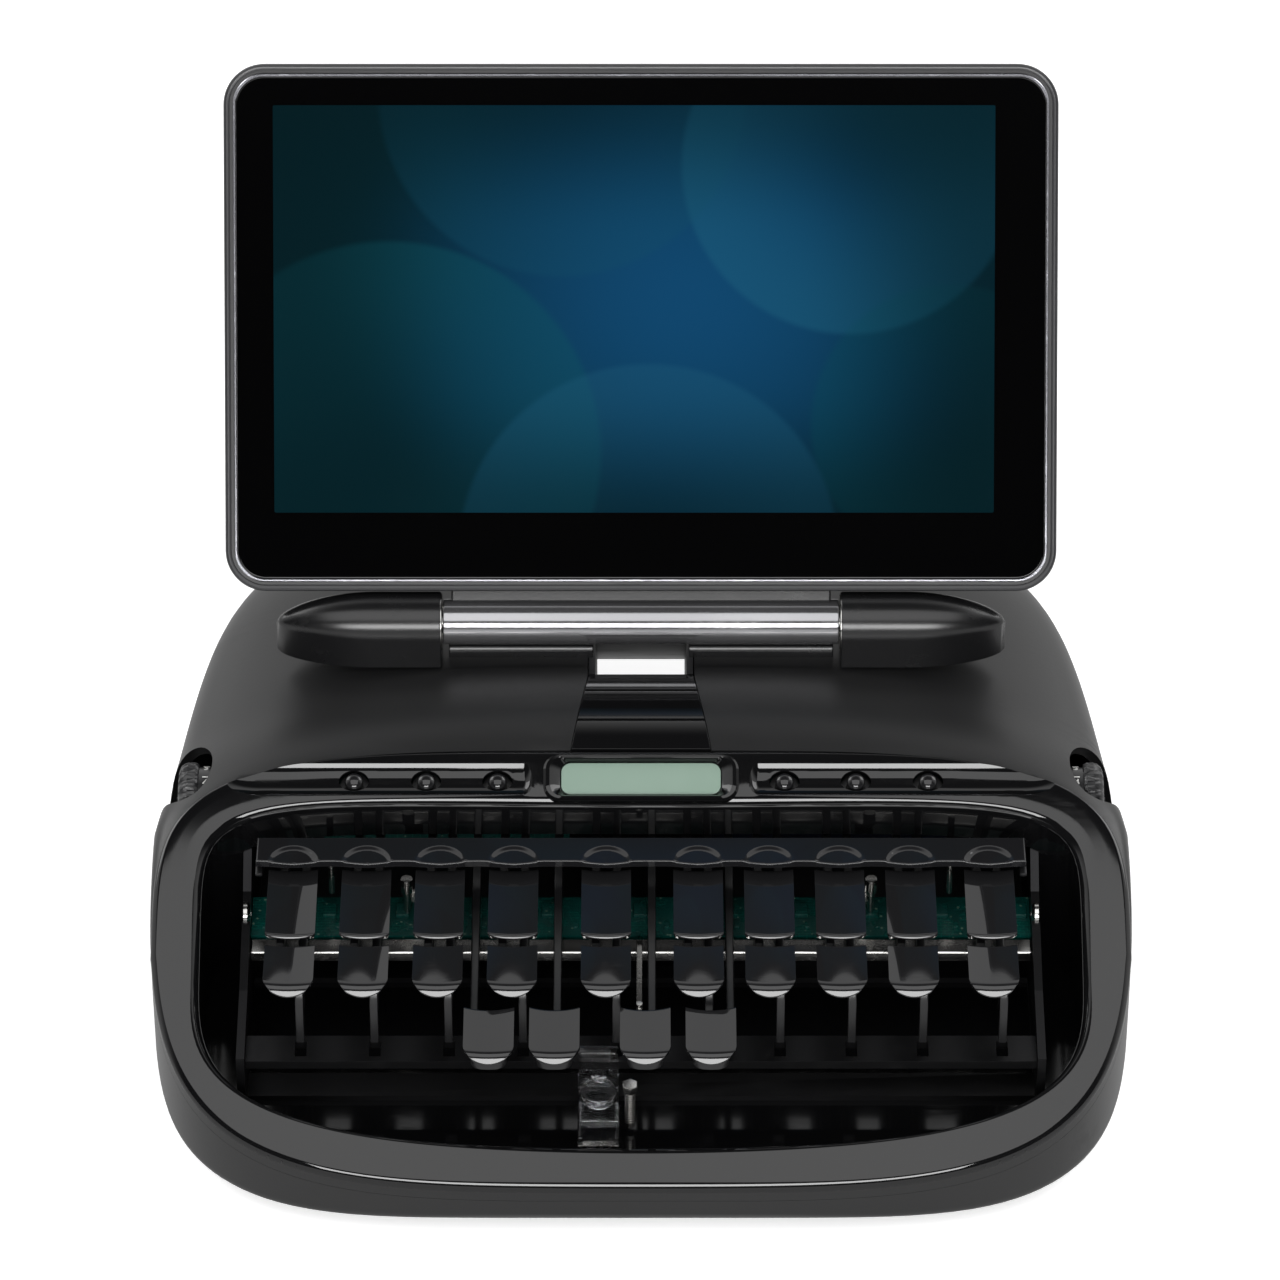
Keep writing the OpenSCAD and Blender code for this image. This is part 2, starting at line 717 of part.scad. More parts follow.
// a key's cap: dished across for the finger, the front edge bowed in plan and rolled down
module cap(x, span, top, bow, roll, rise) {
    length = span[1] - span[0];
    half = key_w / 2;
    translate([x, 0, 0]) difference() {
        intersection() {
            upright(top - cap_t, top) polygon(concat(
                [[half, -span[0]], [-half, -span[0]]],
                [for (s = [-1 : 0.125 : 1])
                    [s * half, bow * (1 - pow(1 - pow(abs(s), 2.4), 1 / 2.4)) - span[1]]]));
            across(key_w + 2) polygon(concat(
                [[1 - span[0], top - cap_t - 1], [1 - span[0], top + 1], [roll - span[1], top + 1]],
                [for (a = [90 : -10 : 0])
                    [roll - span[1] - roll * cos(a), top - rise + rise * sin(a)]],
                [[-span[1], top - cap_t - 1]]));
        }
        at(5 - span[0], top - dish + dish_r) rotate([90, 0, 0]) cylinder(h = length + 10, r = dish_r);
    }
}
module upper_key(col) {
    x = column_x[col];
    color("#141416") union() {
        cap(x, upper_span, upper_z, 0.7, 0.8, 0.6);
        lever(x - lever_dx) polygon([
            [-pivot_u, lever_bottom], [-pivot_u, pivot_z + 3.4], [-upper_span[0] + 4, 49.2],
            [-upper_span[0] - 1, 50.4], [-upper_span[1] + 2, 50.4], [-upper_span[1] + 2, 47.4],
            [-upper_span[0] - 3, 45], [-upper_span[0] + 6, lever_bottom + 1]]);
    }
}
module lower_key(col) {
    x = column_x[col];
    color("#141416") union() {
        cap(x, lower_span, lower_z, 4.2, 4.6, 3);
        lever(x + lever_dx) polygon([
            [-pivot_u, lever_bottom], [-pivot_u, pivot_z + 3.4], [-55, 46.4], [-64, 44.4],
            [-lower_span[0] - 0.6, 44.4], [-lower_span[0] - 3, lower_z - cap_t + 0.4],
            [-lower_span[1] + 2, lower_z - cap_t + 0.4], [-lower_span[1] + 2, 34],
            [-lower_span[1] + 4.4, 34], [-lower_span[1] + 4.4, 42], [-lower_span[1] + 8, lever_bottom]]);
    }
}
module vowel_key(i) {
    lx = vowel_lever_x[i];
    color("#141416") union() {
        cap(vowel_x[i], vowel_span, vowel_z, 3.4, 3.2, 2.6);
        lever(lx) polygon([
            [-pivot_u, lever_bottom], [-pivot_u, pivot_z + 3.4], [-68, 46.4], [-72, 45.8],
            [-78, 43.4], [-105, 42.4], [-110, vowel_z - cap_t + 0.4],
            [-120, vowel_z - cap_t + 0.4], [-108, 38.8], [-70, lever_bottom]]);
    }
}
module number_bar() {
    arm_x = bar_half_l + 1.6;
    color("#1a1a1d") union() {
        difference() {
            upright(bar_z - 4.4, bar_z) difference() {
                translate([-arm_x - 0.8, -bar_span[1]])
                    square([2 * arm_x + 1.6, bar_span[1] - bar_span[0]]);
                // scallops of the front edge between the columns
                for (i = [0 : 8]) translate([(column_x[i] + column_x[i + 1]) / 2, -bar_span[1]])
                    circle(1.6);
            }
            // a shallow scoop over each column
            for (x = column_x) at(-bar_span[1] - 3, bar_z + 15, x) sphere(r = 17);
        }
        for (side = [-1, 1]) lever(side * arm_x) polygon([
            [-pivot_u, lever_bottom], [-pivot_u, pivot_z + 3.4], [-bar_span[0] + 3, 50],
            [-bar_span[0] - 1, bar_z - 2], [-bar_span[1], bar_z - 2],
            [-bar_span[1], bar_z - 4.4], [-bar_span[0] - 1, 48]]);
    }
}
module return_springs() {
    xs = concat([for (x = column_x) x - lever_dx - hub_l / 2 - 0.2 - spring_w / 2],
                [for (x = column_x) x + lever_dx + hub_l / 2 + 0.2 + spring_w / 2],
                [vowel_lever_x[0] + 2.2, vowel_lever_x[1] + 2.1,
                 vowel_lever_x[2] + 2.2, vowel_lever_x[3] + 2.1]);
    color("#9a9da3") for (x = xs) at(-pivot_u, pivot_z, x) rotate([0, 90, 0]) rotate_extrude()
        for (k = [-1, 1]) translate([shaft_r + 0.12 + 0.3, k * 0.2]) circle(0.3);
}
module sensor_board() {
    color("#0f3b2a") across(2 * plate_x - 0.2) translate([-69, 35]) square([14, 1.6]);
}
module stop_rail() {
    color("#b4b7bb") union() {
        across(2 * plate_x - 0.1) translate([-75, 33.6]) square([5, 3]);
        // upright guide plate beside the middle column
        translate([-0.4, 0, 0]) across(1.6) polygon([
            [-100, 30.4], [-100, 33], [-92, 36.4], [-76, 39.6], [-73.6, 39.6], [-73.6, 33.6], [-86, 31.4],
            [-92, 30.4]]);
        difference() {
            across(2 * plate_x - 0.1) translate([-108, 29]) square([9, 2.4]);
            for (x = column_x) at(-103.6, 25, x + lever_dx)
                translate([-lever_t / 2 - 0.4, -2.6, 0]) cube([lever_t + 0.8, 5.2, 12]);
        }
    }
}

// --- inner parts ---
module main_board() {
    color("#1f5a3c") difference() {
        union() {
            at(24, 9.8, -49) translate([-31, -27, 0]) cube([62, 54, 1.6]);
            at(20, 11.2, -56) translate([-12, -12, 0]) cube([24, 24, 3]);
            at(40, 11.2, -34) translate([-8, -6, 0]) cube([16, 12, 4]);
            for (x = [-74, -22], u = [1, 46]) at(u, base_z + wall + 1.2, x) cylinder(h = 6, r = 2.4);
        }
        for (x = [-74, -22], u = [1, 46]) at(u, 0, x) cylinder(h = 30, r = 1.2);
    }
}
module battery_pack() {
    color("#34508a") at(20, base_z + wall + 0.9, 47) translate([0, 0, 10]) hull()
        for (u = [-17, 17]) translate([0, u, 0]) rotate([0, 90, 0])
            cylinder(h = 60, r = 10, center = true, $fn = 40);
}
module port_panel() {
    color("#161618") at(rear_reach - 3.4, port_z, port_x) rotate([90, 0, 0]) difference() {
        linear_extrude(3, center = true) rounded(port_w, port_h, 3);
        translate([-14, 0, -5]) cylinder(h = 10, r = 3);
        translate([-2, 0, 0]) cube([9.4, 3.6, 10], center = true);
        translate([12, 0, 0]) cube([13, 6, 10], center = true);
    }
}
module case_screws() {
    color("#8f9297") for (p = screw_spots) at(p[1], base_z + 2.2, p[0]) difference() {
        union() {
            cylinder(h = 1.8, r = 2.8);
            cylinder(h = min(seam_z, face_z(p[1]) - seam_drop) - base_z + 1.6, r = screw_r - 0.25);
        }
        translate([0, 0, -1]) cylinder(h = 2, r = 1.2, $fn = 6);
    }
}
module rubber_feet() {
    color("#1b1b1b") for (p = foot_spots) at(p[1], 0, p[0]) rotate_extrude()
        polygon([[0, 0], [foot_r - 1, 0], [foot_r, 1], [foot_r, base_z], [0, base_z]]);
}
thread_r = 3.97;
socket_h = 8;
module tripod_socket() {
    color("#a7a9ad") at(socket_u, base_z) difference() {
        union() {
            cylinder(h = socket_h, r = socket_r - 1);
            translate([0, 0, 5]) cylinder(h = 2, r = socket_r + 2);
        }
        translate([0, 0, -1]) cylinder(h = socket_h + 2, r = thread_r);
    }
}

// --- thumbwheels ---
module thumbwheel(side) {
    ridges = 24;
    steps = 5 * ridges;
    color("#1b1b1e") at(-wheel_u, wheel_z, side * wheel_x) rotate([0, side * 90, 0]) difference() {
        union() {
            translate([0, 0, -wheel_w / 2]) linear_extrude(wheel_w - 1.2) polygon([
                for (i = [0 : steps - 1]) let (a = 360 * i / steps)
                    (wheel_r - 0.35 + 0.35 * cos(ridges * a)) * [cos(a), sin(a)]]);
            translate([0, 0, wheel_w / 2 - 1.2])
                cylinder(h = 1.2, r1 = wheel_r - 0.8, r2 = wheel_r - 2.2);
            translate([0, 0, -wheel_w / 2 - dial_w]) cylinder(h = dial_w + 1, r = wheel_r - 1.2);
        }
        cylinder(h = 40, r = stub_r + run, center = true);
    }
}
module tension_wheel() { thumbwheel(-1); }
module depth_wheel() { thumbwheel(1); }

lower_case();
upper_case();
front_bezel();
centre_trim();
status_window();
control_board();
button_guides();
hinge_pods();
hinge_pins();
slot_duct();
key_well();
key_frame();
key_pivot_shaft();
return_springs();
sensor_board();
stop_rail();
main_board();
battery_pack();
port_panel();
case_screws();
rubber_feet();
tripod_socket();
lid_back();
lid_bezel();
display_glass();
display_module();
hinge_barrel();
tension_wheel();
depth_wheel();
number_bar();
for (i = [0 : 5]) button(i);
for (k = KEYS) union() {
    if (k[2] == 0) upper_key(k[1]);
    else lower_key(k[1]);
}
for (i = [0 : 3]) vowel_key(i);
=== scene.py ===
import json
import math

import bmesh
import bpy
from mathutils import Matrix, Vector


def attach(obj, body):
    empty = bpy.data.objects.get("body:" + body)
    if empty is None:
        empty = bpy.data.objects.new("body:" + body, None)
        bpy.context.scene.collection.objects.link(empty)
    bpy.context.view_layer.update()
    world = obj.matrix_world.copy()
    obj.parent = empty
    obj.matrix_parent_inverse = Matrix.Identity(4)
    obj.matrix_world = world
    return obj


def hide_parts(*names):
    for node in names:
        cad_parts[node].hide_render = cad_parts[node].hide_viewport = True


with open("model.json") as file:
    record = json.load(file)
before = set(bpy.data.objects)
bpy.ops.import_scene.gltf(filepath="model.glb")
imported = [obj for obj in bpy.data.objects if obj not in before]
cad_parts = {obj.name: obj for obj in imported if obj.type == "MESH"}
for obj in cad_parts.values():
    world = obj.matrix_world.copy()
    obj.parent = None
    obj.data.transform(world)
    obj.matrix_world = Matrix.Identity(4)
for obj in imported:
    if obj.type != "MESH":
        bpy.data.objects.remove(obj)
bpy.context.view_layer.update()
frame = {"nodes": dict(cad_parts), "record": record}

# ---------------------------------------------------------------- sizes, in millimetres
BODY_W, REAR_TAPER, FRONT_REACH, REAR_REACH = 238.0, 15.0, 137.0, 70.0
DECK_Z, BASE_Z, WALL = 70.0, 3.0, 2.4
SLOPE_DEG, FACE_START, SEAM_DROP, SEAM_Z = 26.5, 36.0, 5.0, 37.0
OPEN_HALF_W, OPEN_REAR, OPEN_FRONT = 106.5, 48.4, 127.0
LID_W, LID_H, LID_CORNER, LID_BACK = 204.7, 129.5, 10.0, 8.0
LID_GAP, LID_LEAN = 7.8, 35.0
PICTURE_W, PICTURE_H, PICTURE_SHIFT, CHIN, GLASS_SIDE = 177.0, 100.0, 1.7, 15.5, 3.9
BARREL_R, BARREL_L, POD_R, POD_IN, POD_OUT = 5.6, 97.6, 7.4, 49.2, 90.0
SLOT_HALF_W = 11.3
COLUMN_X = [-84.2, -66.4, -48.6, -30.8, -8.4, 13.8, 30.9, 48.0, 65.1, 84.2]
KEY_W, LEVER_DX, LEVER_T = 12.2, 2.5, 2.0
UPPER_SPAN, LOWER_SPAN, VOWEL_SPAN = (67.8, 89.0), (90.4, 106.4), (108.4, 125.0)
UPPER_Z, LOWER_Z, VOWEL_Z = 55.0, 53.6, 49.0
VOWEL_X = [-36.2, -20.6, 1.0, 16.6]
VOWEL_LEVER_X = [-40.0, -20.1, 2.6, 21.4]
PIVOT_U, PIVOT_Z = 25.0, 45.0
BAR_SPAN, BAR_Z, BAR_HALF_L = (56.5, 66.4), 58.0, 91.0
WHEEL_X, WHEEL_U, WHEEL_Z, WHEEL_R = 110.8, 36.6, 51.0, 10.0
BUTTON_X = [-70.0, -52.4, -35.0, 35.0, 52.4, 70.0]

RING_MIDDLE_U = -85.0
CAP_TAIL = 3.2
CAMERA_REACH, CAMERA_TILT, CAMERA_LENS, CAMERA_SENSOR, FRAME_PX = 1.8, 40.0, 205.03, 36.0, 1280
AIM_RIGHT_PX, AIM_UP_PX = 1.0, 18.5

MM = 0.001
HALF_W = BODY_W / 2
AXIS_Z = DECK_Z + 8.6
HINGE_Y = (FRONT_REACH - (LID_GAP + LID_H) * math.sin(math.radians(LID_LEAN))
           - LID_BACK * math.cos(math.radians(LID_LEAN))) / 2
SLOPE = math.tan(math.radians(SLOPE_DEG))
FACE_Z0 = DECK_Z - 1.8 + SLOPE * FACE_START
BUTTON_U = -(FACE_START + OPEN_REAR) / 2 - 1


def clamp(v, lo=0.0, hi=1.0):
    return min(max(v, lo), hi)


def mix(a, b, t):
    return a + (b - a) * t


def ease(t):
    t = clamp(t)
    return t * t * (3 - 2 * t)


def signed_pow(v, e):
    return math.copysign(abs(v) ** e, v)


def swell(t, n, m):
    return max(0.0, 1 - clamp(t) ** n) ** (1 / m)


def face_z(u):
    return FACE_Z0 + SLOPE * u


# ---------------------------------------------------------------- meshes
def place(x=0.0, u=0.0, z=0.0):
    """A frame at distance u behind the hinge axis."""
    return Matrix.Translation((x, HINGE_Y + u, z))


def on_face(x, u, lift=0.0):
    """A frame on the sloping face, with its Z along the face's normal."""
    return (place(x, u, face_z(u)) @ Matrix.Rotation(math.radians(SLOPE_DEG), 4, "X")
            @ Matrix.Translation((0, 0, lift)))


def in_lid():
    return place(0, 0, AXIS_Z) @ Matrix.Rotation(math.radians(-LID_LEAN), 4, "X")


def points_of(geom):
    return [g for g in geom if isinstance(g, bmesh.types.BMVert)]


def edges_of(geom):
    return [g for g in geom if isinstance(g, bmesh.types.BMEdge)]


def open_edges(bm):
    return [e for e in bm.edges if e.is_boundary]


def grown_rim(bm, rim):
    """Draws a row of edges out where it lies; gives the new points and the new edges."""
    geom = bmesh.ops.extrude_edge_only(bm, edges=rim)["geom"]
    return points_of(geom), edges_of(geom)


def sliced(bm, at, normal, **clear):
    """Cuts a whole mesh along a plane, and clears a side if told to."""
    bmesh.ops.bisect_plane(bm, geom=bm.verts[:] + bm.edges[:] + bm.faces[:], plane_co=at, plane_no=normal, **clear)


def capped(bm):
    """Closes every hole."""
    bmesh.ops.holes_fill(bm, edges=open_edges(bm))
    bmesh.ops.recalc_face_normals(bm, faces=bm.faces)
    return bm


def hand(x):
    return "left" if x < 0 else "right"


def stacked(rows):
    """Closed loops of points, each drawn out of the one before; gives the mesh and its last and first rims."""
    bm = bmesh.new()
    loop = list(bmesh.ops.create_circle(bm, cap_ends=False, segments=len(rows[0]), radius=1.0)["verts"])
    rim = list(bm.edges)
    first = list(rim)
    for k, points in enumerate(rows):
        if k:
            was = {tuple(round(c, 5) for c in v.co): i for i, v in enumerate(loop)}
            new, rim = grown_rim(bm, rim)
            loop = sorted(new, key=lambda v: was[tuple(round(c, 5) for c in v.co)])
        for v, point in zip(loop, points):
            v.co = point
    return bm, rim, first


def hooped(rows):
    """A hoop: stacked loops whose last joins the first."""
    bm, rim, first = stacked(rows)
    bmesh.ops.bridge_loops(bm, edges=rim + first)
    bmesh.ops.recalc_face_normals(bm, faces=bm.faces)
    return bm


def outline_mesh(points, top=None):
    """A flat face from an outline in the XY plane, pulled up to the height top."""
    bm = bmesh.new()
    face = bm.faces.new([bm.verts.new((p[0], p[1], 0)) for p in points])
    if top is not None:
        grown = bmesh.ops.extrude_face_region(bm, geom=[face])
        bmesh.ops.translate(bm, vec=(0, 0, top), verts=points_of(grown["geom"]))
    bmesh.ops.recalc_face_normals(bm, faces=bm.faces)
    return bm


def side_mesh(points, width, x=0.0):
    """A plate cut to a side outline of (distance behind the hinge axis, height), width wide about x."""
    bm = outline_mesh(points, width)
    turn = Matrix(((0, 0, 1, x - width / 2), (1, 0, 0, HINGE_Y), (0, 1, 0, 0), (0, 0, 0, 1)))
    bmesh.ops.transform(bm, matrix=turn, verts=bm.verts)
    bmesh.ops.recalc_face_normals(bm, faces=bm.faces)
    return bm


def block(size, at=(0, 0, 0), bevel=0.0, segments=2):
    bm = bmesh.new()
    bmesh.ops.create_cube(bm, size=1.0)
    bmesh.ops.scale(bm, vec=size, verts=bm.verts)
    if bevel:
        soften(bm, bm.edges, bevel, segments)
    bmesh.ops.translate(bm, vec=at, verts=bm.verts)
    return bm


def rod(radius, length, at=(0, 0, 0), along="Z", segments=32, top=None, bevel=0.0):
    bm = bmesh.new()
    bmesh.ops.create_cone(bm, cap_ends=True, segments=segments, radius1=radius,
                          radius2=radius if top is None else top, depth=length)
    if bevel:
        rims = [e for e in bm.edges if abs(e.verts[0].co.z - e.verts[1].co.z) < 1e-6]
        soften(bm, rims, bevel, 2)
    if along == "X":
        bmesh.ops.rotate(bm, matrix=Matrix.Rotation(math.pi / 2, 3, "Y"), verts=bm.verts)
    if along == "Y":
        bmesh.ops.rotate(bm, matrix=Matrix.Rotation(math.pi / 2, 3, "X"), verts=bm.verts)
    bmesh.ops.translate(bm, vec=at, verts=bm.verts)
    return bm


def soften(bm, edges, radius, segments=2):
    bmesh.ops.bevel(bm, geom=list(edges), offset=radius, offset_type="OFFSET", affect="EDGES",
                    segments=segments, profile=0.5, material=-1, clamp_overlap=True)


def soften_sharp(bm, radius, segments=2, angle=35.0):
    limit = math.radians(angle)
    soften(bm, [e for e in bm.edges if len(e.link_faces) == 2 and e.calc_face_angle(0) > limit], radius, segments)


def tube(rows, hoop=False):
    """A grid rolled into a closed form: each row is a closed loop of points; a hoop's last row joins its first."""
    around, along = len(rows[0]), len(rows)
    bm = bmesh.new()
    steps = along if hoop else along - 1
    bmesh.ops.create_grid(bm, x_segments=around, y_segments=steps, size=1.0)
    for v in bm.verts:
        i, k = round((v.co.x + 1) / 2 * around), round((v.co.y + 1) / 2 * steps)
        v.co = rows[k % along][i % around]
    bmesh.ops.remove_doubles(bm, verts=bm.verts, dist=1e-5)
    if not hoop:
        bmesh.ops.holes_fill(bm, edges=open_edges(bm))
    bmesh.ops.recalc_face_normals(bm, faces=bm.faces)
    return bm


def turned(profile, steps=64):
    """A solid of revolution about Z from (radius, height) points that start and end on the axis or close up."""
    bm = bmesh.new()
    verts = [bm.verts.new((r, 0, z)) for r, z in profile]
    edges = [bm.edges.new(pair) for pair in zip(verts, verts[1:])]
    bmesh.ops.spin(bm, geom=verts + edges, cent=(0, 0, 0), axis=(0, 0, 1), angle=math.tau, steps=steps, use_merge=True)
    bmesh.ops.remove_doubles(bm, verts=bm.verts, dist=1e-4)
    bmesh.ops.recalc_face_normals(bm, faces=bm.faces)
    return bm


def rounded_points(w, h, r, n=8):
    """An upright rectangle's outline with round corners, anticlockwise."""
    out = []
    for cx, cy, start in ((w / 2 - r, h / 2 - r, 0), (r - w / 2, h / 2 - r, 90), (r - w / 2, r - h / 2, 180),
                          (w / 2 - r, r - h / 2, 270)):
        for i in range(n + 1):
            a = math.radians(start + 90 * i / n)
            out.append((cx + r * math.cos(a), cy + r * math.sin(a)))
    return out


def joined(*meshes):
    """Several bmeshes as one."""
    out = bmesh.new()
    for bm in meshes:
        mesh = bpy.data.meshes.new("part")
        bm.to_mesh(mesh)
        bm.free()
        out.from_mesh(mesh)
        bpy.data.meshes.remove(mesh)
    return out


def moved(bm, matrix):
    bmesh.ops.transform(bm, matrix=matrix, verts=bm.verts)
    return bm


def combined(target, tool, operation="DIFFERENCE"):
    """The first mesh cut by, joined to or kept inside the second; both are used up."""
    closed = all(len(e.link_faces) == 2 for bm in (target, tool) for e in bm.edges)
    pair = []
    for bm in (target, tool):
        mesh = bpy.data.meshes.new("solid")
        bm.to_mesh(mesh)
        bm.free()
        obj = bpy.data.objects.new("solid", mesh)
        bpy.context.scene.collection.objects.link(obj)
        pair.append(obj)
    change = pair[0].modifiers.new("change", "BOOLEAN")
    change.object = pair[1]
    change.operation = operation
    change.solver = "MANIFOLD" if closed else "EXACT"
    made = pair[0].evaluated_get(bpy.context.evaluated_depsgraph_get())
    out = bmesh.new()
    out.from_mesh(made.to_mesh())
    for obj in pair:
        mesh = obj.data
        bpy.data.objects.remove(obj)
        bpy.data.meshes.remove(mesh)
    bmesh.ops.remove_doubles(out, verts=out.verts, dist=1e-4)
    return out


def piece(bm, name, body, material, replaces=(), angle=32.0):
    """Turns a bmesh in millimetres into a finished piece that rides on a body."""
    bmesh.ops.scale(bm, vec=(MM, MM, MM), verts=bm.verts)
    mesh = bpy.data.meshes.new(name)
    bm.to_mesh(mesh)
    bm.free()
    for polygon in mesh.polygons:
        polygon.use_smooth = True
    mesh.set_sharp_from_angle(angle=math.radians(angle))
    obj = bpy.data.objects.new(name, mesh)
    bpy.context.scene.collection.objects.link(obj)
    mesh.materials.append(material)
    even = obj.modifiers.new("even shading", "WEIGHTED_NORMAL")
    even.keep_sharp = True
    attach(obj, body)
    for node in replaces:
        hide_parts(node)
    return obj


# ---------------------------------------------------------------- finishes
def shader_group(name, inputs, outputs):
    """An empty node group with named sockets, and its input and output nodes."""
    tree = bpy.data.node_groups.new(name, "ShaderNodeTree")
    for label, kind in inputs:
        tree.interface.new_socket(name=label, in_out="INPUT", socket_type=kind)
    for label, kind in outputs:
        tree.interface.new_socket(name=label, in_out="OUTPUT", socket_type=kind)
    return tree, tree.nodes.new("NodeGroupInput"), tree.nodes.new("NodeGroupOutput")


def math_node(tree, operation, first, second=None, clamp_it=False):
    node = tree.nodes.new("ShaderNodeMath")
    node.operation = operation
    node.use_clamp = clamp_it
    for socket, value in zip(node.inputs, (first, second)):
        if value is None:
            continue
        if isinstance(value, (int, float)):
            socket.default_value = value
        else:
            tree.links.new(value, socket)
    return node.outputs[0]


def noise_node(tree, vector, scale, detail=3.0, roughness=0.55):
    node = tree.nodes.new("ShaderNodeTexNoise")
    node.inputs["Detail"].default_value = detail
    node.inputs["Roughness"].default_value = roughness
    tree.links.new(vector, node.inputs["Vector"])
    if isinstance(scale, (int, float)):
        node.inputs["Scale"].default_value = scale
    else:
        tree.links.new(scale, node.inputs["Scale"])
    return node.outputs["Fac"]


def ramp_node(tree, value, low, high, to_low=0.0, to_high=1.0):
    node = tree.nodes.new("ShaderNodeMapRange")
    node.interpolation_type = "SMOOTHSTEP"
    tree.links.new(value, node.inputs["Value"])
    for label, number in (("From Min", low), ("From Max", high), ("To Min", to_low), ("To Max", to_high)):
        if isinstance(number, (int, float)):
            node.inputs[label].default_value = number
        else:
            tree.links.new(number, node.inputs[label])
    return node.outputs["Result"]


def build_moulded_grain():
    """The fine pebbled skin of a moulded housing: its height, and slow changes of tone over it."""
    tree, given, made = shader_group(
        "moulded grain", [("Vector", "NodeSocketVector"), ("Scale", "NodeSocketFloat")],
        [("Height", "NodeSocketFloat"), ("Mottle", "NodeSocketFloat")])
    cells = tree.nodes.new("ShaderNodeTexVoronoi")
    cells.feature = "SMOOTH_F1"
    tree.links.new(given.outputs["Vector"], cells.inputs["Vector"])
    tree.links.new(given.outputs["Scale"], cells.inputs["Scale"])
    fine = noise_node(tree, given.outputs["Vector"], math_node(tree, "MULTIPLY", given.outputs["Scale"], 2.3))
    slow = noise_node(tree, given.outputs["Vector"], math_node(tree, "MULTIPLY", given.outputs["Scale"], 0.012), 2.0)
    height = math_node(tree, "ADD", math_node(tree, "MULTIPLY", cells.outputs["Distance"], 0.7),
                       math_node(tree, "MULTIPLY", fine, 0.3))
    tree.links.new(height, made.inputs["Height"])
    tree.links.new(ramp_node(tree, slow, 0.3, 0.7), made.inputs["Mottle"])
    return tree


def build_handling_marks():
    """Faint smudges and fine wipe marks on a gloss surface, as a mask."""
    tree, given, made = shader_group(
        "handling marks", [("Vector", "NodeSocketVector"), ("Scale", "NodeSocketFloat")],
        [("Smudge", "NodeSocketFloat"), ("Dust", "NodeSocketFloat")])
    patches = noise_node(tree, given.outputs["Vector"], given.outputs["Scale"], 5.0, 0.6)
    stretched = tree.nodes.new("ShaderNodeVectorMath")
    stretched.operation = "MULTIPLY"
    stretched.inputs[1].default_value = (1.0, 6.0, 3.0)
    tree.links.new(given.outputs["Vector"], stretched.inputs[0])
    wipes = noise_node(tree, stretched.outputs[0], math_node(tree, "MULTIPLY", given.outputs["Scale"], 3.0), 4.0)
    smudge = math_node(tree, "MULTIPLY", ramp_node(tree, patches, 0.48, 0.72), ramp_node(tree, wipes, 0.35, 0.65))
    specks = tree.nodes.new("ShaderNodeTexVoronoi")
    tree.links.new(given.outputs["Vector"], specks.inputs["Vector"])
    tree.links.new(math_node(tree, "MULTIPLY", given.outputs["Scale"], 16.0), specks.inputs["Scale"])
    dust = ramp_node(tree, specks.outputs["Distance"], 0.07, 0.03)
    tree.links.new(smudge, made.inputs["Smudge"])
    tree.links.new(dust, made.inputs["Dust"])
    return tree


GRAIN = build_moulded_grain()
MARKS = build_handling_marks()


def new_material(name):
    material = bpy.data.materials.new(name)
    material.use_nodes = True
    tree = material.node_tree
    tree.nodes.clear()
    out = tree.nodes.new("ShaderNodeOutputMaterial")
    shader = tree.nodes.new("ShaderNodeBsdfPrincipled")
    tree.links.new(shader.outputs["BSDF"], out.inputs["Surface"])
    where = tree.nodes.new("ShaderNodeTexCoord")
    return material, tree, shader, where.outputs["Object"]


def colour_mix(tree, mask, first, second):
    node = tree.nodes.new("ShaderNodeMix")
    node.data_type = "RGBA"
    tree.links.new(mask, node.inputs[0])
    for socket, value in ((node.inputs[6], first), (node.inputs[7], second)):
        if isinstance(value, (tuple, list)):
            socket.default_value = (*value[:3], 1.0)
        else:
            tree.links.new(value, socket)
    return node.outputs[2]


def finish_of(name, dark, light, roughness, spread, scale=900.0, depth=0.0, marks=60.0, metallic=0.0, specular=0.5,
              coat=0.0, coat_roughness=0.05):
    """A moulded, lacquered or plated surface: two close tones, grain, and marks that change its roughness."""
    material, tree, shader, where = new_material(name)
    shader.inputs["Metallic"].default_value = metallic
    shader.inputs["Specular IOR Level"].default_value = specular
    shader.inputs["Coat Weight"].default_value = coat
    shader.inputs["Coat Roughness"].default_value = coat_roughness
    grain = tree.nodes.new("ShaderNodeGroup")
    grain.node_tree = GRAIN
    grain.inputs["Scale"].default_value = scale
    tree.links.new(where, grain.inputs["Vector"])
    worn = tree.nodes.new("ShaderNodeGroup")
    worn.node_tree = MARKS
    worn.inputs["Scale"].default_value = marks
    tree.links.new(where, worn.inputs["Vector"])
    tone = math_node(tree, "ADD", math_node(tree, "MULTIPLY", grain.outputs["Mottle"], 0.8),
                     math_node(tree, "MULTIPLY", worn.outputs["Dust"], 0.2), True)
    tree.links.new(colour_mix(tree, tone, dark, light), shader.inputs["Base Color"])
    rough = math_node(tree, "ADD", math_node(tree, "MULTIPLY", worn.outputs["Smudge"], spread), roughness, True)
    tree.links.new(rough, shader.inputs["Roughness"])
    if depth:
        bump = tree.nodes.new("ShaderNodeBump")
        bump.inputs["Strength"].default_value = 0.6
        bump.inputs["Distance"].default_value = depth
        tree.links.new(grain.outputs["Height"], bump.inputs["Height"])
        tree.links.new(bump.outputs["Normal"], shader.inputs["Normal"])
    return material


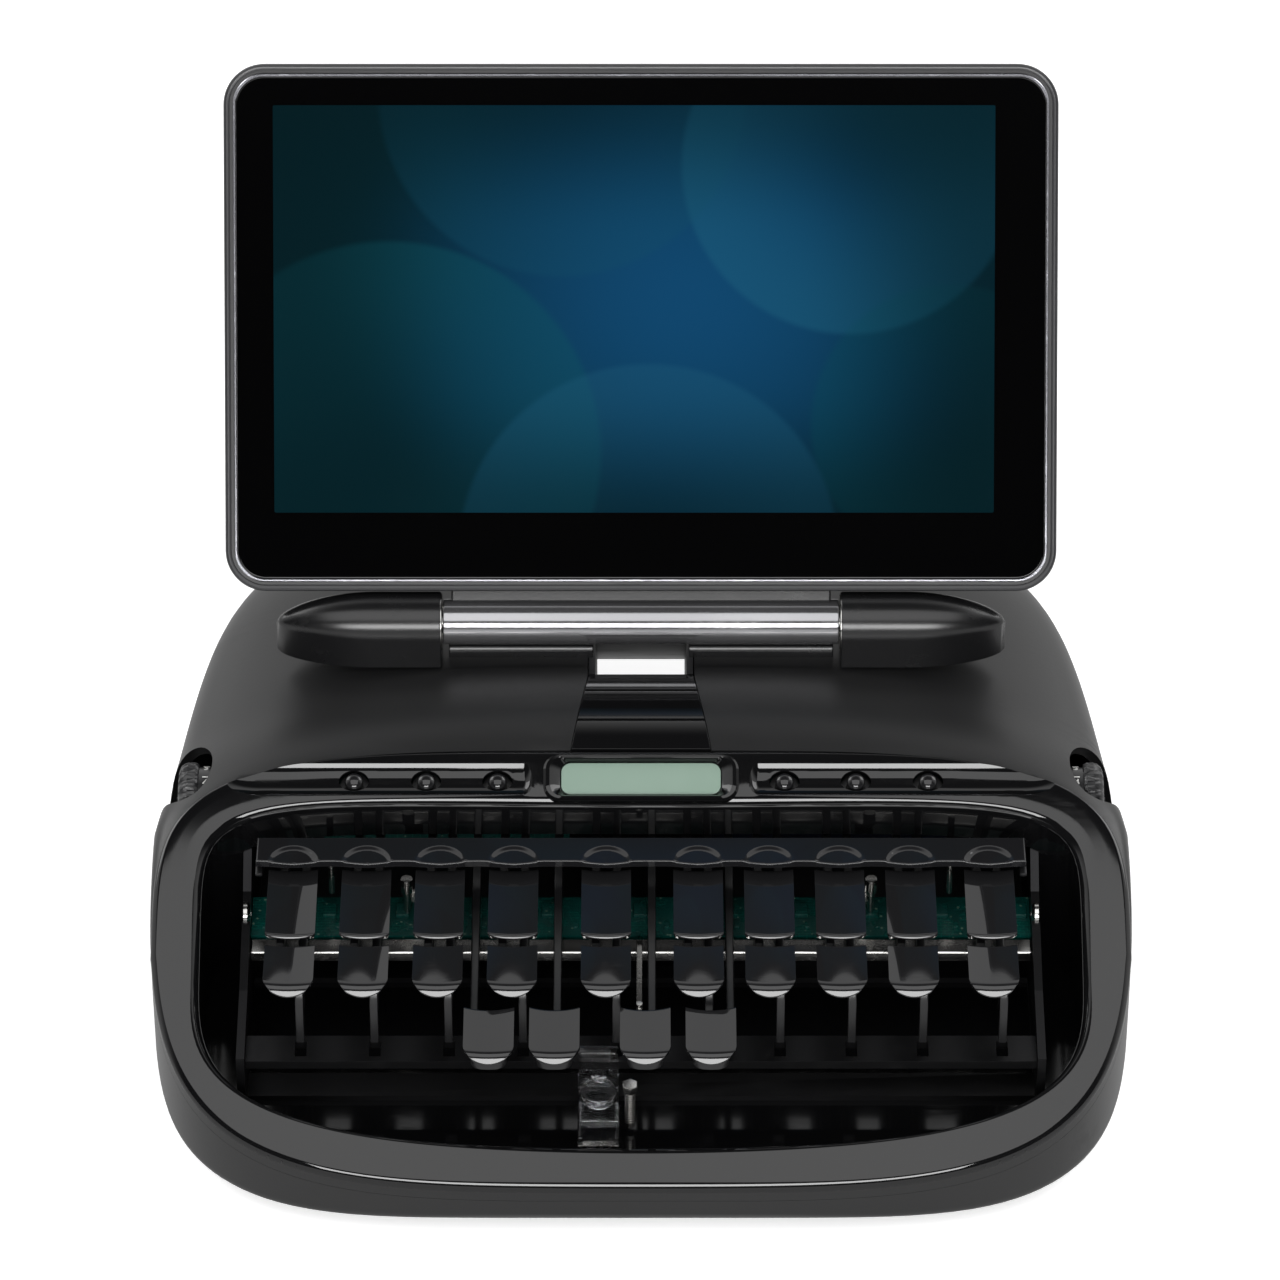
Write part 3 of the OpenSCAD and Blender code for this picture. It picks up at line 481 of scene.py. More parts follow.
SATIN_SHELL = finish_of("satin shell", (0.0055, 0.0055, 0.0058), (0.0075, 0.0075, 0.0078), 0.36, 0.1, 1100, 0.00002, 30)
GLOSS_FACE = finish_of("gloss face", (0.003, 0.003, 0.0033), (0.0042, 0.0042, 0.0045), 0.045, 0.05, 400, 0, 50)
KEY_GLOSS = finish_of("key gloss", (0.0085, 0.0085, 0.009), (0.0105, 0.0105, 0.0112), 0.035, 0.05, 700, 0, 110)
BAR_GLOSS = finish_of("number bar gloss", (0.008, 0.008, 0.0088), (0.010, 0.010, 0.011), 0.05, 0.06, 700, 0, 90)
WELL_GLOSS = finish_of("well gloss", (0.0022, 0.0022, 0.0024), (0.003, 0.003, 0.0033), 0.09, 0.1, 500, 0, 60)
LEVER_SATIN = finish_of("lever satin", (0.006, 0.006, 0.0065), (0.009, 0.009, 0.0095), 0.3, 0.12, 900, 0.00001, 90)
POD_ENAMEL = finish_of("hinge enamel", (0.005, 0.005, 0.0054), (0.007, 0.007, 0.0075), 0.24, 0.1, 1300, 0.00001, 70)
BARREL_ANODISED = finish_of("barrel anodised", (0.30, 0.30, 0.31), (0.36, 0.36, 0.37), 0.15, 0.06, 1500, 0.000008,
                            80, metallic=0.9)
LID_SHELL = finish_of("display shell", (0.022, 0.022, 0.024), (0.03, 0.03, 0.032), 0.34, 0.1, 1200, 0.000012, 40)
# painted highlight: a bright plated finish for the display frame's inner chamfer, standing in for the light that the
# black chamfer catches
PAINTED_CHAMFER_HIGHLIGHT = finish_of("painted chamfer highlight", (0.40, 0.40, 0.43), (0.52, 0.52, 0.56), 0.18, 0.12, 800, 0, 120, metallic=1.0)
COVER_GLASS = finish_of("cover glass", (0.0006, 0.0006, 0.0007), (0.0012, 0.0012, 0.0013), 0.025, 0.03, 300, 0, 30,
                        specular=0.35)
PLATED = finish_of("plated steel", (0.46, 0.455, 0.44), (0.60, 0.59, 0.57), 0.2, 0.2, 600, 0, 200, metallic=1.0)
BLACK_STEEL = finish_of("blackened steel", (0.012, 0.012, 0.013), (0.022, 0.022, 0.023), 0.36, 0.2, 800, 0.00001, 160,
                        metallic=0.85)
DARK_MOULDING = finish_of("dark moulding", (0.008, 0.008, 0.009), (0.013, 0.013, 0.014), 0.42, 0.1, 900, 0.00002, 60)
WHEEL_RUBBER = finish_of("wheel grip", (0.011, 0.011, 0.012), (0.016, 0.016, 0.017), 0.33, 0.12, 900, 0.00001, 150)
FOOT_RUBBER = finish_of("foot rubber", (0.012, 0.012, 0.012), (0.02, 0.02, 0.02), 0.75, 0.1, 1500, 0.00004, 80)
NUMERAL_INK = finish_of("numeral ink", (0.62, 0.62, 0.60), (0.74, 0.74, 0.72), 0.45, 0.1, 900, 0, 90)
BATTERY_WRAP = finish_of("battery wrap", (0.004, 0.006, 0.014), (0.006, 0.009, 0.02), 0.3, 0.15, 500, 0.00001, 60)


def build_status_glass():
    """The reflective liquid crystal window: grey green, with a faint dot matrix and a cloudy change of tone."""
    material, tree, shader, where = new_material("status glass")
    split = tree.nodes.new("ShaderNodeSeparateXYZ")
    tree.links.new(where, split.inputs[0])
    dots_x = math_node(tree, "SINE", math_node(tree, "MULTIPLY", split.outputs[0], math.tau / 0.0006))
    dots_y = math_node(tree, "SINE", math_node(tree, "MULTIPLY", split.outputs[1], math.tau / 0.0006))
    dots = math_node(tree, "MULTIPLY", dots_x, dots_y)
    cloud = noise_node(tree, where, 60.0, 2.0)
    tone = math_node(tree, "ADD", math_node(tree, "MULTIPLY", dots, 0.10), math_node(tree, "MULTIPLY", cloud, 0.9),
                     True)
    tree.links.new(colour_mix(tree, tone, (0.175, 0.245, 0.200), (0.215, 0.29, 0.24)), shader.inputs["Base Color"])
    tree.links.new(ramp_node(tree, noise_node(tree, where, 140.0), 0.3, 0.8, 0.08, 0.16), shader.inputs["Roughness"])
    shader.inputs["Specular IOR Level"].default_value = 0.3
    return material


def build_circuit_board():
    """Green solder mask with darker copper runs under it and small pads."""
    material, tree, shader, where = new_material("circuit board")
    runs = tree.nodes.new("ShaderNodeTexBrick")
    runs.inputs["Scale"].default_value = 260.0
    runs.inputs["Mortar Size"].default_value = 0.03
    runs.inputs["Color1"].default_value = (0, 0, 0, 1)
    runs.inputs["Color2"].default_value = (0.15, 0.15, 0.15, 1)
    runs.inputs["Mortar"].default_value = (1, 1, 1, 1)
    tree.links.new(where, runs.inputs["Vector"])
    pads = tree.nodes.new("ShaderNodeTexVoronoi")
    pads.inputs["Scale"].default_value = 420.0
    tree.links.new(where, pads.inputs["Vector"])
    patch = ramp_node(tree, noise_node(tree, where, 160.0, 2.0), 0.5, 0.56)
    base = colour_mix(tree, math_node(tree, "MULTIPLY", runs.outputs["Color"], patch), (0.0005, 0.045, 0.038),
                      (0.004, 0.085, 0.066))
    full = colour_mix(tree, ramp_node(tree, pads.outputs["Distance"], 0.16, 0.12), base, (0.10, 0.17, 0.13))
    tree.links.new(full, shader.inputs["Base Color"])
    tree.links.new(ramp_node(tree, patch, 0.0, 1.0, 0.32, 0.22), shader.inputs["Roughness"])
    bump = tree.nodes.new("ShaderNodeBump")
    bump.inputs["Distance"].default_value = 0.00004
    tree.links.new(runs.outputs["Color"], bump.inputs["Height"])
    tree.links.new(bump.outputs["Normal"], shader.inputs["Normal"])
    return material


def build_lit_picture():
    """The lit screen: overlapping soft discs of teal and blue that fade into dark corners."""
    material, tree, shader, where = new_material("lit picture")
    lean = math.radians(LID_LEAN)
    rise = tree.nodes.new("ShaderNodeVectorMath")
    rise.operation = "DOT_PRODUCT"
    rise.inputs[1].default_value = (0.0, math.sin(lean), math.cos(lean))
    tree.links.new(where, rise.inputs[0])
    split = tree.nodes.new("ShaderNodeSeparateXYZ")
    tree.links.new(where, split.inputs[0])
    base_v = HINGE_Y * MM * math.sin(lean) + AXIS_Z * MM * math.cos(lean)
    middle_v = base_v + (LID_GAP + GLASS_SIDE + CHIN + PICTURE_H / 2) * MM
    px = math_node(tree, "DIVIDE", math_node(tree, "ADD", split.outputs[0], PICTURE_SHIFT * MM), PICTURE_W * MM)
    py = math_node(tree, "DIVIDE", math_node(tree, "SUBTRACT", rise.outputs["Value"], middle_v), PICTURE_W * MM)

    def reach(x, y, squash=1.0):
        dx = math_node(tree, "SUBTRACT", px, x)
        dy = math_node(tree, "MULTIPLY", math_node(tree, "SUBTRACT", py, y), squash)
        return math_node(tree, "SQRT", math_node(tree, "ADD", math_node(tree, "MULTIPLY", dx, dx),
                                                 math_node(tree, "MULTIPLY", dy, dy)))

    glow = ramp_node(tree, reach(0.08, 0.02, 1.2), 0.52, 0.0)
    colour = colour_mix(tree, glow, (0.0006, 0.016, 0.023), (0.004, 0.060, 0.150))
    for x, y, radius, share, tint in ((-0.34, -0.2, 0.30, 0.34, (0.004, 0.085, 0.115)),
                                      (0.30, 0.20, 0.24, 0.38, (0.012, 0.115, 0.200)),
                                      (0.44, -0.16, 0.20, 0.26, (0.002, 0.070, 0.095)),
                                      (-0.10, 0.30, 0.26, 0.24, (0.006, 0.075, 0.130)),
                                      (0.02, -0.34, 0.27, 0.30, (0.012, 0.100, 0.180))):
        away = reach(x, y)
        disc = math_node(tree, "MULTIPLY", ramp_node(tree, away, radius, radius - 0.012),
                         ramp_node(tree, away, 0.0, radius, share * 0.15, share))
        colour = colour_mix(tree, disc, colour, tint)
    edge = math_node(tree, "MULTIPLY", ramp_node(tree, math_node(tree, "ABSOLUTE", px), 0.5, 0.22, 0.35, 1.0),
                     ramp_node(tree, math_node(tree, "ABSOLUTE", py), 0.31, 0.1, 0.45, 1.0))
    colour = colour_mix(tree, edge, (0.0004, 0.010, 0.013), colour)
    shader.inputs["Base Color"].default_value = (0.0008, 0.0008, 0.001, 1)
    shader.inputs["Specular IOR Level"].default_value = 0.35
    tree.links.new(colour, shader.inputs["Emission Color"])
    shader.inputs["Emission Strength"].default_value = 1.0
    tree.links.new(ramp_node(tree, noise_node(tree, where, 40.0), 0.4, 0.8, 0.025, 0.05), shader.inputs["Roughness"])
    return material


def build_clear_moulding():
    """Clear moulded plastic with faint flow lines."""
    material, tree, shader, where = new_material("clear moulding")
    shader.inputs["Base Color"].default_value = (0.92, 0.93, 0.95, 1)
    shader.inputs["Transmission Weight"].default_value = 1.0
    shader.inputs["IOR"].default_value = 1.49
    flow = noise_node(tree, where, 420.0, 3.0)
    tree.links.new(ramp_node(tree, flow, 0.3, 0.8, 0.03, 0.12), shader.inputs["Roughness"])
    bump = tree.nodes.new("ShaderNodeBump")
    bump.inputs["Distance"].default_value = 0.0001
    tree.links.new(flow, bump.inputs["Height"])
    tree.links.new(bump.outputs["Normal"], shader.inputs["Normal"])
    return material


STATUS_GLASS = build_status_glass()
CIRCUIT_BOARD = build_circuit_board()
LIT_PICTURE = build_lit_picture()
CLEAR_MOULDING = build_clear_moulding()


# ---------------------------------------------------------------- housing
def outline_w(u, inset=0.0):
    if u < -50:
        return (HALF_W - inset) * swell((-50 - u) / (FRONT_REACH - 50 - inset), 4, 4)
    return ((HALF_W - inset - REAR_TAPER * (u + 50) / (REAR_REACH + 50))
            * swell((u + 50) / (REAR_REACH - inset + 50), 6, 4))


def top_z(u):
    slope, deck = face_z(u), DECK_Z - 0.0008 * max(u, 0) ** 2
    return min(slope, deck) - max(5 - abs(slope - deck), 0) ** 2 / 20


def body_form(inset=0.0, stations=96, n=128):
    """The housing's moulded form: its section changes from the front to the rear."""
    first, last = -FRONT_REACH + inset, REAR_REACH - inset
    rows = []
    for k in range(stations + 1):
        u = mix(first, last, (1 - math.cos(math.pi * mix(0.012, 0.988, k / stations))) / 2)
        belly = mix(10, 40, ease((u + FRONT_REACH) / 95))
        rear = swell((u - 20) / (REAR_REACH - inset - 20), 5, 2.2)
        heel = swell((u - REAR_REACH + 14) / (14 - inset), 2.4, 2.4)
        nose = swell((-u - FRONT_REACH + 12) / (12 - inset), 2.4, 2.4)
        up = (top_z(u) - inset - belly) * max(rear, 0.06)
        down = (belly - BASE_Z - inset) * max(heel * nose, 0.06)
        power = 3.2 + 37 * (1 - clamp((u + 88) / 75)) ** 3
        w = outline_w(u, inset)
        row = []
        for i in range(n):
            a = math.tau * i / n
            s = math.sin(a)
            m = power if s >= 0 else 7
            row.append((w * signed_pow(math.cos(a), 2 / m), HINGE_Y + u,
                        belly + (up if s >= 0 else down) * signed_pow(s, 2 / m)))
        rows.append(row)
    return tube(rows)


def seam_under(lift=0.0):
    """Everything under the parting seam, raised by lift."""
    bend = (SEAM_Z + SEAM_DROP - FACE_Z0) / SLOPE
    return side_mesh([(-200, -60), (-200, face_z(-200) - SEAM_DROP + lift), (bend, SEAM_Z + lift),
                      (200, SEAM_Z + lift), (200, -60)], 400)


def ring_radius(direction, inset=0.0, middle=RING_MIDDLE_U):
    """Distance from the ring's middle to its outer edge in a plan direction (radians)."""
    dx, du = math.cos(direction), math.sin(direction)
    if du > 0:
        a, b, m = HALF_W - 0.6 - inset, -middle - FACE_START - inset, 4.3
        return (abs(dx / a) ** m + abs(du / b) ** m) ** (-1 / m)
    low, high = 0.0, 200.0
    for _ in range(40):
        r = (low + high) / 2
        x, u = abs(r * dx), middle + r * du
        inside = u > -FRONT_REACH + inset and x < outline_w(u, inset) and x < HALF_W - 0.6 - inset
        low, high = (r, high) if inside else (low, r)
    return low


def opening_radius(direction, grow=0.0, middle=RING_MIDDLE_U):
    """Distance from the ring's middle to the key opening's edge in a plan direction."""
    dx, du = math.cos(direction), math.sin(direction)
    centre = -(OPEN_REAR + OPEN_FRONT) / 2
    a, b = OPEN_HALF_W + grow, (OPEN_FRONT - OPEN_REAR) / 2 + grow
    low, high = 0.0, 200.0
    for _ in range(40):
        r = (low + high) / 2
        x, u = r * dx, middle + r * du - centre
        m = 7 if u > 0 else 3.2
        low, high = (r, high) if abs(x / a) ** m + abs(u / b) ** m < 1 else (low, r)
    return low


def plan_loop(radius_of, n=240, **extra):
    """A plan outline round the ring's middle, from its radius in each direction."""
    out = []
    for i in range(n):
        a = math.tau * i / n
        r = radius_of(a, **extra)
        out.append((r * math.cos(a), RING_MIDDLE_U + r * math.sin(a)))
    return out


def upright(points, z0, z1):
    """An upright column cut to a plan outline of (X, distance behind the hinge axis)."""
    bm = outline_mesh([(x, HINGE_Y + u) for x, u in points], z1 - z0)
    bmesh.ops.translate(bm, vec=(0, 0, z0), verts=bm.verts)
    return bm


def face_cut(depth, points, **clear):
    """A column cut to a plan outline and by the plane at a depth under the sloping face."""
    bm = upright(points, -20, 140)
    sliced(bm, (0, HINGE_Y, FACE_Z0 - depth), Vector((0, -SLOPE, 1)).normalized(), **clear)
    return capped(bm)


def under_face(depth, points):
    return face_cut(depth, points, clear_outer=True)


def over_face(depth, points):
    return face_cut(depth, points, clear_inner=True)


def slot_path(grow):
    """The room of the see-through slot, wider by grow all round."""
    drop = 400 * math.tan(math.radians(43))
    front, rear, under, over = -9.0, 4 + grow, DECK_Z - 0.9, DECK_Z - 2.2
    return side_mesh([(front - grow, DECK_Z + 10), (front - grow, under - grow),
                      (front + 400, under - grow * 1.4 - drop), (front + 400, DECK_Z + 14 + grow * 1.4 - drop),
                      (rear, over + grow * 1.4), (rear, DECK_Z + 10)], 2 * (SLOT_HALF_W + grow))


WHEEL_MID = WHEEL_X - 1.7


def wheel_pocket(side):
    """The scoop in the shoulder round a thumbwheel: a teardrop that runs to a point towards the operator."""
    scoop = bmesh.new()
    bmesh.ops.create_uvsphere(scoop, u_segments=56, v_segments=28, radius=1.0)
    bmesh.ops.scale(scoop, vec=(7.8, 12.6, 12.0), verts=scoop.verts)
    bmesh.ops.rotate(scoop, matrix=Matrix.Rotation(math.radians(-side * 14), 3, "Y"), verts=scoop.verts)
    bmesh.ops.translate(scoop, vec=(side * 2.0, 2.0, 1.5), verts=scoop.verts)
    tip = bmesh.ops.create_uvsphere(scoop, u_segments=20, v_segments=12, radius=1.4)["verts"]
    bmesh.ops.translate(scoop, vec=(side * 4.6, -13.0, 1.6), verts=tip)
    shell = bmesh.ops.convex_hull(scoop, input=scoop.verts[:])
    spare = set(points_of(shell["geom_interior"] + shell["geom_unused"]))
    bmesh.ops.delete(scoop, geom=list(spare), context="VERTS")
    keep = {g for g in shell["geom"] if isinstance(g, bmesh.types.BMFace) and g.is_valid}
    bmesh.ops.delete(scoop, geom=[f for f in scoop.faces if f not in keep], context="FACES_ONLY")
    bmesh.ops.delete(scoop, geom=[e for e in scoop.edges if not e.link_faces], context="EDGES")
    bmesh.ops.translate(scoop, vec=(side * WHEEL_MID, HINGE_Y - WHEEL_U, WHEEL_Z), verts=scoop.verts)
    bmesh.ops.recalc_face_normals(scoop, faces=scoop.faces)
    return scoop


def deck_skin(top, bottom, first=-38.0, last=-8.0):
    """A slab that follows the deck's surface, between two depths under it."""
    us = [mix(first, last, i / 30) for i in range(31)]
    return side_mesh([(u, top_z(u) - top) for u in us] + [(u, top_z(u) - bottom) for u in reversed(us)], 60)


def build_shells():
    ring_hole = plan_loop(ring_radius, inset=-0.01)
    room = plan_loop(ring_radius, inset=2.2)
    upper = combined(body_form(), seam_under(0.12))
    upper = combined(upper, over_face(2.0, ring_hole))
    under_pods = side_mesh([(-14, DECK_Z - 5), (16, DECK_Z - 5), (16, DECK_Z + 6), (-14, DECK_Z + 6)], 2 * POD_OUT)
    upper = combined(upper, combined(body_form(WALL, 44, 72), under_pods))
    upper = combined(upper, under_face(1.0, room))
    upper = combined(upper, side_mesh([(-7.3, DECK_Z - 0.8), (8.7, DECK_Z - 0.8), (8.7, DECK_Z + 4), (-7.3,
                                                                                                      DECK_Z + 4)],
                                      2 * POD_IN - 0.4))
    upper = combined(upper, slot_path(1.9))
    trim = upright([(-17.3, -36.2), (17.3, -36.2), (13.0, -9.5), (-13.0, -9.5)], DECK_Z - 20, DECK_Z + 5)
    upper = combined(upper, combined(trim, deck_skin(-6.0, 1.0), "INTERSECT"))
    for side in (-1, 1):
        upper = combined(upper, wheel_pocket(side))
    piece(upper, "upper_shell", "case", SATIN_SHELL, ["upper_case"], 24)
    for side in (-1, 1):
        rib = side_mesh([(-2.6, DECK_Z - 1.0), (5.2, DECK_Z - 1.0), (5.2, DECK_Z + 1.2), (4.4, DECK_Z + 2.3),
                         (3.0, DECK_Z + 2.6), (-0.8, DECK_Z + 2.6), (-2.1, DECK_Z + 2.1), (-2.6, DECK_Z + 1.0)],
                        48 - SLOT_HALF_W - 1, side * (SLOT_HALF_W + 48) / 2)
        soften_sharp(rib, 0.35, 2, 20)
        piece(rib, f"saddle_rib_{hand(side)}", "case", POD_ENAMEL)

    lower = combined(body_form(), seam_under(0.0), "INTERSECT")
    lower = combined(lower, body_form(WALL, 44, 72))
    lower = combined(lower, slot_path(1.9))
    for side in (-1, 1):
        lower = combined(lower, wheel_pocket(side))
    opening = outline_mesh(rounded_points(44.6, 12.6, 3), 16)
    lower = combined(lower, moved(opening, place(-52, REAR_REACH + 8, 21) @ Matrix.Rotation(math.pi / 2, 4, "X")))
    for k in range(-72, -20, 12):
        for side in (-1, 1):
            vent = outline_mesh(rounded_points(2.6, 22.6, 1.29), 14)
            lower = combined(lower, moved(vent, place(side * k, 20, -1)))
    piece(lower, "lower_shell", "case", SATIN_SHELL, ["lower_case"], 24)


# ---------------------------------------------------------------- glossy face
def build_face_ring():
    """The gloss ring round the key opening: its cross-section is carried round the opening, with rolled edges."""
    around = 360
    angles = [math.tau * (i + 0.5) / around for i in range(around)]
    inner = [opening_radius(a) for a in angles]
    outer = [ring_radius(a) for a in angles]
    roll_in, roll_out = 2.6, 1.7
    quarter = [math.radians(t) for t in range(0, 91, 15)]
    # each point: a measure across the ring, a depth under the face, and the edge it is measured from
    section = [(0.0, 9.5, "in"), (0.0, 5.0, "in")]
    section += [(roll_in * (1 - math.cos(t)), roll_in * (1 - math.sin(t)), "in") for t in quarter]
    section += [(0.35, 0.0, "share"), (0.7, 0.0, "share")]
    section += [(-roll_out * (1 - math.sin(t)), roll_out * (1 - math.cos(t)), "out") for t in quarter]
    section += [(-0.01, 2.0, "out"), (-1.2, 2.0, "out"), (1.4, 2.0, "in"), (1.4, 9.5, "in")]

    def ring_point(i, along, depth, start):
        if start == "share":
            r = inner[i] + roll_in + along * (outer[i] - inner[i] - roll_in - roll_out)
        else:
            r = (inner[i] if start == "in" else outer[i]) + along
        u = RING_MIDDLE_U + r * math.sin(angles[i])
        return r * math.cos(angles[i]), HINGE_Y + u, face_z(u) - depth / math.cos(math.radians(SLOPE_DEG))

    bm = hooped([[ring_point(i, *point) for i in range(around)] for point in section])
    # the concave channels with the button recesses, then the window
    for side in (-1, 1):
        channel = bmesh.new()
        bmesh.ops.create_uvsphere(channel, u_segments=48, v_segments=24, radius=6.9)
        sliced(channel, (0, 0, 0), (1, 0, 0))
        for v in channel.verts:
            if v.co.x > 1e-4:
                v.co.x = 31.5 + v.co.x * 2.2
            elif v.co.x < -1e-4:
                v.co.x = -31.5 + v.co.x * 0.6
        middle = [v for v in channel.verts if abs(v.co.x) <= 1e-4]
        bmesh.ops.delete(channel, geom=middle, context="VERTS")
        bmesh.ops.bridge_loops(channel, edges=open_edges(channel))
        bmesh.ops.recalc_face_normals(channel, faces=channel.faces)
        turn = on_face(side * 60.5, BUTTON_U, 5.4)
        if side < 0:
            turn = turn @ Matrix.Rotation(math.pi, 4, "Z")
        bm = combined(bm, moved(channel, turn))
    for x in BUTTON_X:
        recess = turned([(0, -2.6), (2.9, -2.6), (3.5, 0.2), (4.3, 4.0), (0, 4.0)], 48)
        bmesh.ops.scale(recess, vec=(1.18, 0.82, 1), verts=recess.verts)
        bm = combined(bm, moved(recess, on_face(x, BUTTON_U)))
        bm = combined(bm, moved(rod(2.5, 14, (0, 0, -6)), on_face(x, BUTTON_U)))
    frame_hole = outline_mesh(rounded_points(46, 11.4, 3.6), 12)
    bm = combined(bm, moved(frame_hole, on_face(0, BUTTON_U + 0.3, -7)))
    piece(bm, "face_ring", "case", GLOSS_FACE, ["front_bezel"], 30)

    # the raised surround of the window: an outer hoop with a broad inner bevel
    steps = [(47.6, 12.4, 4.0, -3.0), (47.6, 12.4, 4.0, 0.15), (46.4, 11.4, 3.6, 0.95), (44.6, 10.4, 3.2, 1.15),
             (42.6, 9.6, 2.9, 0.75), (39.4, 8.6, 2.6, -0.55), (38.8, 8.3, 2.5, -3.0)]
    hoop = hooped([[(x, y, z) for x, y in rounded_points(w, h, r, 10)] for w, h, r, z in steps])
    piece(moved(hoop, on_face(0, BUTTON_U + 0.3)), "window_surround", "case", GLOSS_FACE, [], 28)

    window = outline_mesh(rounded_points(39.0, 8.4, 2.5, 10), 2.2)
    soften_sharp(window, 0.35, 2, 40)
    piece(moved(window, on_face(0, BUTTON_U + 0.3, -2.55)), "status_pane", "case", STATUS_GLASS,
          ["status_window"])


def build_buttons():
    for i, x in enumerate(BUTTON_X):
        profile = [(0, -11.0), (3.2, -11.0), (3.2, -10.2), (2.2, -10.2), (2.2, -1.6)]
        profile += [(2.2 * math.cos(math.radians(a)), -1.6 + 1.3 * math.sin(math.radians(a))) for a in range(10, 90,
                                                                                                             10)]
        profile += [(0.0, -0.3)]
        knob = turned(profile, 40)
        piece(moved(knob, on_face(x, BUTTON_U)), f"button_cap_{i + 1}", f"button_{i + 1}", KEY_GLOSS,
              [f"button_{i + 1}"])
        sleeve = turned([(2.32, -9.0), (3.6, -9.0), (3.6, -5.2), (2.32, -5.2), (2.32, -9.0)], 40)
        piece(moved(sleeve, on_face(x, BUTTON_U)), f"button_sleeve_{i + 1}", "case", DARK_MOULDING,
              ["button_guides"] if i == 0 else [])


def build_centre_trim():
    """The gloss panel below the slot, with its raised borders, a step line and a lip under the slot."""
    panel = upright([(-17.0, -35.7), (17.0, -35.7), (12.8, -9.9), (-12.8, -9.9)], DECK_Z - 20, DECK_Z + 5)
    panel = combined(panel, deck_skin(-0.15, 1.0), "INTERSECT")
    panel = combined(panel, block((2 * SLOT_HALF_W, 9, 40), (0, HINGE_Y - 7.1, DECK_Z)))
    for u in (-27.4, -16.6):
        groove = side_mesh([(u, top_z(u) - 0.3), (u + 0.7, top_z(u) - 0.3), (u + 0.7, DECK_Z + 2), (u, DECK_Z + 2)], 60)
        panel = combined(panel, groove)
    soften_sharp(panel, 0.14, 2, 40)
    piece(panel, "centre_panel", "case", GLOSS_FACE, ["centre_trim"])


# ---------------------------------------------------------------- hinge and display
def build_hinge():
    for side in (-1, 1):
        length = POD_OUT - POD_IN
        profile = [(0, 0.05), (POD_R - 0.5, 0.05), (POD_R - 0.15, 0.2), (POD_R, 0.55), (POD_R, 16)]
        for k in range(1, 25):
            t = k / 24
            profile.append((POD_R * max(1 - t * t, 0) ** 0.62, 16 + (length - 16) * t))
        profile[-1] = (0, length)
        top, cheek = turned(profile, 72), turned(profile, 72)
        sliced(cheek, (0, 0, 0), (1, 0, 0), clear_outer=True)
        new, _ = grown_rim(cheek, open_edges(cheek))
        bmesh.ops.translate(cheek, vec=(8.6, 0, 0), verts=new)
        pod = combined(top, capped(cheek), "UNION")
        turn = place(side * POD_IN, 0, AXIS_Z) @ Matrix.Rotation(math.pi / 2 * side, 4, "Y")
        if side < 0:
            turn = turn @ Matrix.Rotation(math.pi, 4, "Z")
        piece(moved(pod, turn), f"hinge_pod_{hand(side)}", "case", POD_ENAMEL, ["hinge_pods"], 28)
        ring = turned([(4.6, -0.2), (6.9, -0.2), (7.15, 0.0), (7.15, 0.75), (4.6, 0.75), (4.6, -0.2)], 72)
        piece(moved(ring, turn), f"hinge_ring_{hand(side)}", "case", PLATED, ["hinge_pins"])
        pin = rod(2.45, 15, (0, 0, -7.2), bevel=0.3)
        piece(moved(pin, turn), f"hinge_pin_{hand(side)}", "case", PLATED)

    barrel = turned([(0, 0), (BARREL_R - 0.5, 0), (BARREL_R - 0.1, 0.15), (BARREL_R, 0.5), (BARREL_R, BARREL_L - 0.5),
                     (BARREL_R - 0.1, BARREL_L - 0.15), (BARREL_R - 0.5, BARREL_L), (0, BARREL_L)], 96)
    turn = in_lid() @ Matrix.Translation((-BARREL_L / 2, 0, 0)) @ Matrix.Rotation(math.pi / 2, 4, "Y")
    piece(moved(barrel, turn), "barrel_tube", "lid", BARREL_ANODISED, ["hinge_barrel"])
    leaf = block((BARREL_L - 4, 4.4, LID_GAP - 1.6), (0, 0.8, 5.0), 0.5, 3)
    piece(moved(leaf, in_lid()), "barrel_leaf", "lid", POD_ENAMEL)


def lid_rows(steps):
    """Loops round the display's outline; each step is (inset, depth behind the hinge plane)."""
    rows = []
    for inset, depth in steps:
        corner = max(LID_CORNER - inset, 0.6)
        points = rounded_points(LID_W - 2 * inset, LID_H - 2 * inset, corner, 14)
        rows.append([(x, depth, LID_GAP + LID_H / 2 + z) for x, z in points])
    return rows


